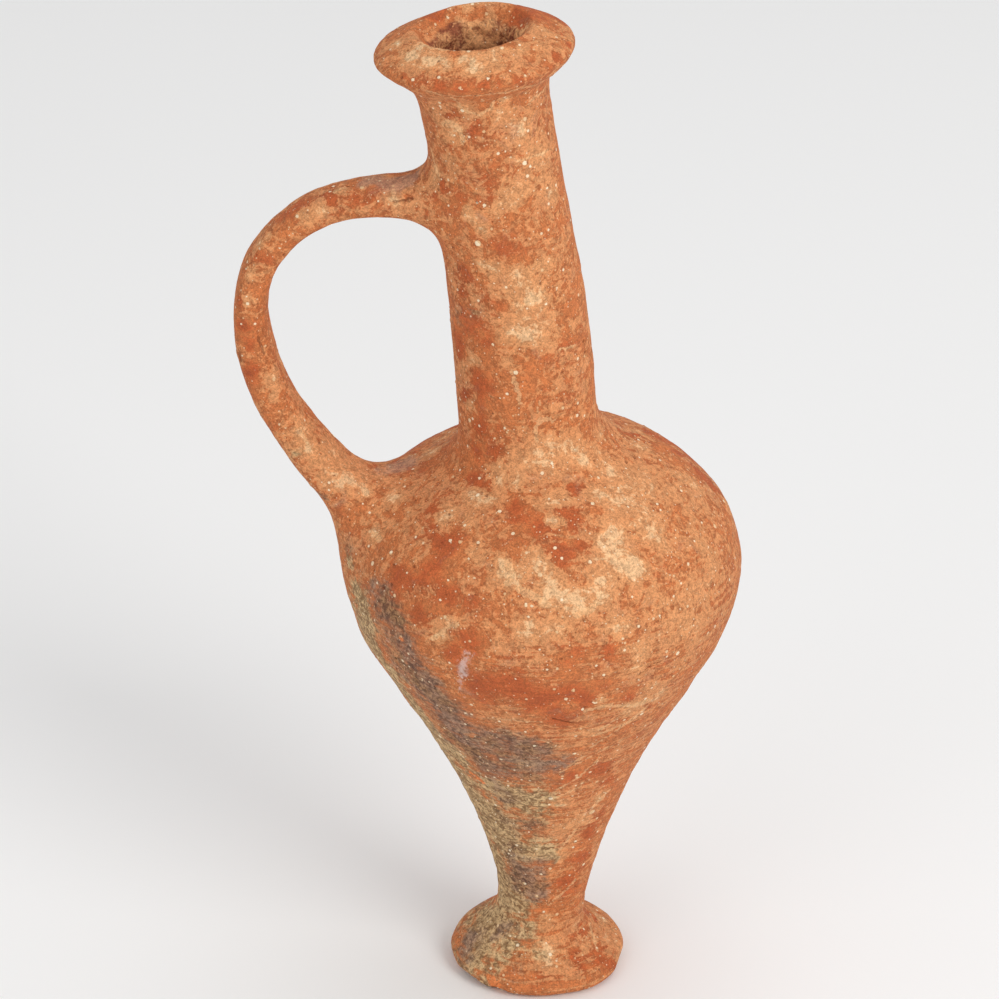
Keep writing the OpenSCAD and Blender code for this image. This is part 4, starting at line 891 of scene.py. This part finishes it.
def clay_material(name):
    m = bpy.data.materials.new(name); m.use_nodes = True
    g = Net(m.node_tree)
    bsdf = g.n["Principled BSDF"]
    add, mul, sub = (lambda a, b: g.math("ADD", a, b)), (lambda a, b: g.math("MULTIPLY", a, b)), (lambda a, b: g.math("SUBTRACT", a, b))
    tc = g.put("ShaderNodeTexCoord").outputs["Object"]
    P = g.scaled(tc, 1000.0)                                   # millimetres
    soot, khaki, pale, redder, greyed, dirt, curl, chalk, chip = (g.attr(a) for a in (
        "soot", "khaki", "pale", "redder", "greyed", "dirt", "curl", "chalk", "chip"))
    grit_a, pit_a = g.attr("grit"), g.attr("pit")

    # noises, centred on 0 and spread to about -1..1
    def cn(vec, size, detail, rough, distort, off):
        return mul(sub(g.noise(vec, size, detail, rough, distort, off), 0.5), 7.0)
    big = cn(P, 13, 4, 0.55, 0.4, 0.0)
    mid = cn(P, 5.5, 6, 0.62, 0.8, 31.0)
    flake = cn(P, 3.7, 9, 0.68, 1.5, 77.0)
    small = cn(P, 1.15, 6, 0.62, 0.8, 13.0)
    grain = cn(P, 0.36, 4, 0.7, 0.3, 5.0)
    wipe = cn(g.scaled(P, (0.10, 0.10, 1.0)), 0.85, 7, 0.66, 0.5, 9.0)
    zc = g.put("ShaderNodeSeparateXYZ"); g.feed(zc.inputs[0], P)
    low = g.step(zc.outputs[2], 92.0, 116.0, 1.0, 0.25)

    orange, brick, deep = lin(209, 125, 74), lin(193, 100, 56), lin(154, 74, 44)
    tan, cream = lin(217, 155, 105), lin(234, 192, 146)

    # body colour: orange going brick red
    r = add(add(mul(redder, 1.5), mul(pale, -0.5)), add(add(mul(mid, 0.55), mul(big, 0.45)), mul(small, 0.25)))
    col = g.mix(g.step(r, -0.35, 1.0), orange, brick)
    d = add(add(mul(redder, 0.9), mul(small, 0.65)), add(mul(mid, 0.5), mul(wipe, mul(low, 0.35))))
    d = sub(d, mul(pale, 0.8))
    col = g.mix(mul(g.step(d, 0.55, 1.7), 0.85), col, deep)

    # worn pale slip in torn patches over it
    s = add(add(mul(flake, sub(0.95, mul(low, 0.45))), mul(small, 0.30)), add(add(mul(big, 0.40), mul(mid, 0.15)), mul(wipe, mul(low, 0.85))))
    s = add(s, sub(mul(pale, 2.0), mul(redder, 1.75)))
    s = add(s, 0.28)
    tanm = g.step(s, -0.15, 0.75)
    crm = g.step(s, 1.45, 2.3)
    tstr = add(0.58, mul(g.step(add(pale, mul(big, 0.25)), -0.2, 0.7), 0.26))
    col = g.mix(mul(tanm, tstr), col, tan)
    col = g.mix(mul(crm, 0.75), col, cream)
    edge = mul(g.step(s, -0.45, 0.0), sub(1.0, g.step(s, 0.0, 0.4)))           # the darker edge of a flake
    col = g.mix(mul(edge, 0.30), col, lin(140, 74, 42))
    cm = g.step(add(curl, add(mul(small, 0.2), mul(flake, 0.14))), -0.05, 0.2)
    col = g.mix(mul(cm, 0.52), col, lin(232, 184, 134))

    # fire clouding, and the khaki wear beside it
    haze = mul(g.step(add(khaki, add(mul(mid, 0.12), mul(flake, 0.10))), 0.04, 0.9), 0.40)
    col = g.mix(haze, col, lin(185, 149, 103))
    kh = g.step(add(mul(khaki, 2.1), add(mul(flake, 0.55), add(mul(mid, 0.3), mul(wipe, 0.35)))), 0.12, 1.35)
    khc = g.mix(g.step(add(small, mul(wipe, 0.6)), -0.8, 0.9), lin(151, 120, 83), lin(212, 181, 135))
    col = g.mix(mul(mul(kh, g.step(khaki, 0.03, 0.30)), 0.85), col, khc)
    veil = mul(g.step(add(soot, add(mul(mid, 0.10), mul(wipe, 0.08))), 0.04, 0.95), 0.42)
    col = g.mix(veil, col, lin(152, 110, 86))
    so = g.step(add(mul(soot, 1.9), add(mul(mid, 0.55), add(mul(wipe, 0.5), mul(flake, 0.6)))), 0.15, 2.0)
    soc = g.mix(g.step(add(small, add(mul(wipe, 0.5), mul(mid, 0.7))), -1.3, 1.3), lin(104, 77, 66), lin(168, 134, 111))
    soc = g.mix(g.step(add(big, mul(mid, 0.5)), -0.5, 0.7), soc, g.mix(g.step(small, -0.8, 0.8), lin(114, 80, 56), lin(166, 126, 88)))
    col = g.mix(mul(mul(so, g.step(soot, 0.03, 0.32)), 0.86), col, soc)
    gy = g.step(add(mul(greyed, 1.4), mul(mid, 0.4)), 0.2, 1.2)
    col = g.mix(mul(gy, 0.6), col, lin(184, 146, 124))
    fresh = g.step(add(mul(chip, 1.6), mul(small, 0.3)), 0.5, 1.1)
    col = g.mix(mul(fresh, 0.85), col, lin(226, 128, 72))

    # soil left in the mouth
    dm = g.step(add(mul(dirt, 2.0), mul(small, 0.25)), 0.5, 1.4)
    dc = g.mix(g.step(add(mid, mul(small, 0.6)), -0.8, 0.9), lin(140, 76, 52), lin(222, 164, 112))
    col = g.mix(mul(dm, 0.92), col, dc)

    # close variation
    v = add(mul(small, 0.5), mul(grain, 0.5))
    shade = g.step(v, -1.0, 1.0, 0.60, 1.30)
    sc = g.put("ShaderNodeCombineColor")
    for i in range(3):
        g.feed(sc.inputs[i], shade)
    col = g.mix(1.0, col, sc.outputs[0], "MULTIPLY")

    # grit: the larger stones are in the mesh, the finest only here
    wob = mul(grain, 0.05)
    big_grit = g.step(add(grit_a, wob), -0.04, 0.08)
    def stones(cell, power, radius, off):
        a = g.put("ShaderNodeVectorMath", operation="ADD"); g.feed(a.inputs[0], P); a.inputs[1].default_value = (off, off, off)
        vo = g.put("ShaderNodeTexVoronoi", voronoi_dimensions="3D", feature="F1"); g.feed(vo.inputs["Vector"], a.outputs[0])
        vo.inputs["Scale"].default_value = 1 / cell
        sep = g.put("ShaderNodeSeparateColor"); g.feed(sep.inputs[0], vo.outputs["Color"])
        rad = mul(g.math("POWER", sep.outputs[0], power), radius / cell)
        return g.step(add(sub(rad, vo.outputs["Distance"]), mul(wob, 0.5)), -0.03, 0.05), sep.outputs[1]
    fa, ca = stones(1.5, 4.6, 0.42, 3.0)
    fb, cb = stones(0.8, 3.0, 0.20, 41.0)
    gr = g.math("MAXIMUM", mul(big_grit, 0.95), g.math("MAXIMUM", mul(fa, 0.85), mul(fb, 0.75)))
    col = g.mix(gr, col, g.mix(g.step(ca, 0.2, 0.9), lin(252, 232, 198), lin(232, 190, 142)))
    wm = g.step(add(mul(chalk, 1.7), add(mul(small, 0.6), mul(flake, 0.45))), 0.35, 1.75)
    col = g.mix(mul(mul(wm, g.step(chalk, 0.05, 0.3)), 0.62), col, lin(224, 202, 196))
    # pits and dark specks
    speck, _ = stones(2.6, 3.0, 0.34, 17.0)
    pits = g.step(add(pit_a, wob), -0.05, 0.12)
    col = g.mix(mul(speck, 0.6), col, lin(92, 56, 38))
    col = g.mix(mul(pits, 0.5), col, lin(116, 66, 42))
    g.feed(bsdf.inputs["Base Color"], col)

    rough = add(mul(small, 0.05), 0.84)
    rough = sub(rough, mul(gr, 0.14))
    rough = g.math("ADD", rough, mul(tanm, 0.05), clamp=True)
    g.feed(bsdf.inputs["Roughness"], rough)
    bsdf.inputs["Specular IOR Level"].default_value = 0.25

    hgt = add(add(mul(grain, 0.016), mul(small, 0.026)), mul(wipe, mul(low, 0.022)))
    hgt = add(hgt, add(mul(tanm, 0.035), mul(cm, 0.05)))
    hgt = add(hgt, add(mul(gr, 0.05), mul(mul(dm, mid), 0.10)))
    hgt = sub(hgt, mul(g.math("MAXIMUM", speck, pits), 0.14))
    bump = g.put("ShaderNodeBump"); bump.inputs["Strength"].default_value = 1.0; bump.inputs["Distance"].default_value = 0.001
    g.feed(bump.inputs["Height"], hgt)
    g.feed(bsdf.inputs["Normal"], bump.outputs[0])
    return m
# ---------------------------------------------------------------- camera, light, floor
def camera():
    p, yw, ro = math.radians(28.095), math.radians(-1.629), math.radians(-0.416)
    fwd = Vector((math.sin(yw) * math.cos(p), math.cos(yw) * math.cos(p), -math.sin(p)))
    right = fwd.cross(Vector((0, 0, 1))).normalized()
    up = right.cross(fwd)
    r = right * math.cos(ro) + up * math.sin(ro)
    u = -right * math.sin(ro) + up * math.cos(ro)
    m = Matrix((( r.x, u.x, -fwd.x, 0.01867), (r.y, u.y, -fwd.y, -0.944633), (r.z, u.z, -fwd.z, 0.622827), (0, 0, 0, 1)))
    cd = bpy.data.cameras.new("camera"); cd.sensor_width = 36; cd.lens = 4888.4 / 999 * 36
    cd.clip_start = 0.05; cd.clip_end = 20
    ob = bpy.data.objects.new("camera", cd); ob.matrix_world = m
    bpy.context.scene.collection.objects.link(ob); bpy.context.scene.camera = ob
    return ob
camera()

def area(name, loc, aim, size, watts, color=(1, 1, 1)):
    d = bpy.data.lights.new(name, "AREA"); d.shape = "DISK"; d.size = size; d.energy = watts; d.color = color
    ob = bpy.data.objects.new(name, d)
    v = Vector(aim) - Vector(loc)
    ob.matrix_world = Matrix.Translation(loc) @ v.to_track_quat("-Z", "Y").to_matrix().to_4x4()
    bpy.context.scene.collection.objects.link(ob)
    return ob
area("key", (0.95, -0.95, 0.95), (0, 0, 0.12), 0.8, 10.3, (1.0, 0.99, 0.97))
area("fill", (-0.8, -1.0, 0.7), (0, 0, 0.12), 1.0, 2.4, (0.99, 0.995, 1.0))
area("top", (0.2, 0.2, 1.3), (0, 0, 0.12), 0.9, 2.6)

world = bpy.data.worlds.new("studio"); bpy.context.scene.world = world
world.use_nodes = True
world.node_tree.nodes["Background"].inputs[0].default_value = (1.0, 1.0, 1.0, 1)
world.node_tree.nodes["Background"].inputs[1].default_value = 0.60
bpy.context.scene.view_settings.view_transform = "Standard"
bpy.context.scene.view_settings.look = "None"

fme = bpy.data.meshes.new("floor")
n = 3.0
fme.from_pydata([(-n, -n, 0), (n, -n, 0), (n, n, 0), (-n, n, 0)], [], [(0, 1, 2, 3)])
floor = bpy.data.objects.new("floor", fme)
bpy.context.scene.collection.objects.link(floor)
fm = bpy.data.materials.new("floor_pale"); fm.use_nodes = True
fb = fm.node_tree.nodes["Principled BSDF"]
fb.inputs["Base Color"].default_value = (0.93, 0.93, 0.93, 1); fb.inputs["Roughness"].default_value = 0.9
fme.materials.append(fm)
# ---------------------------------------------------------------- make the pieces
ATTR = masks(V, N)
ATTR["grit"] = grit; ATTR["pit"] = pit
data = [N] + [ATTR[k].astype(F32) for k in ATTR]
keys = list(ATTR)
V, T, lab, data = build_pieces(V, T, data)
N = data[0]; N = N / np.linalg.norm(N, axis=1)[:, None]
ATTR = dict(zip(keys, data[1:]))
mat = clay_material("earthenware")
for i, name in enumerate(NAMES):
    sub = T[lab == i]
    P, F, surf, used = close(V, sub, name)
    a, b = check_closed(F)
    print("PIECE", name, len(P), len(F), "open", a, "double", b, flush=True)
    Nv = np.zeros((len(P), 3), F32); Nv[:len(used)] = N[used]
    ob = make_object("clay_" + name, P, F, surf, Nv, {k: ATTR[k][used] for k in keys}, mat)
    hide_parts(name)
    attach(ob, ROOT)
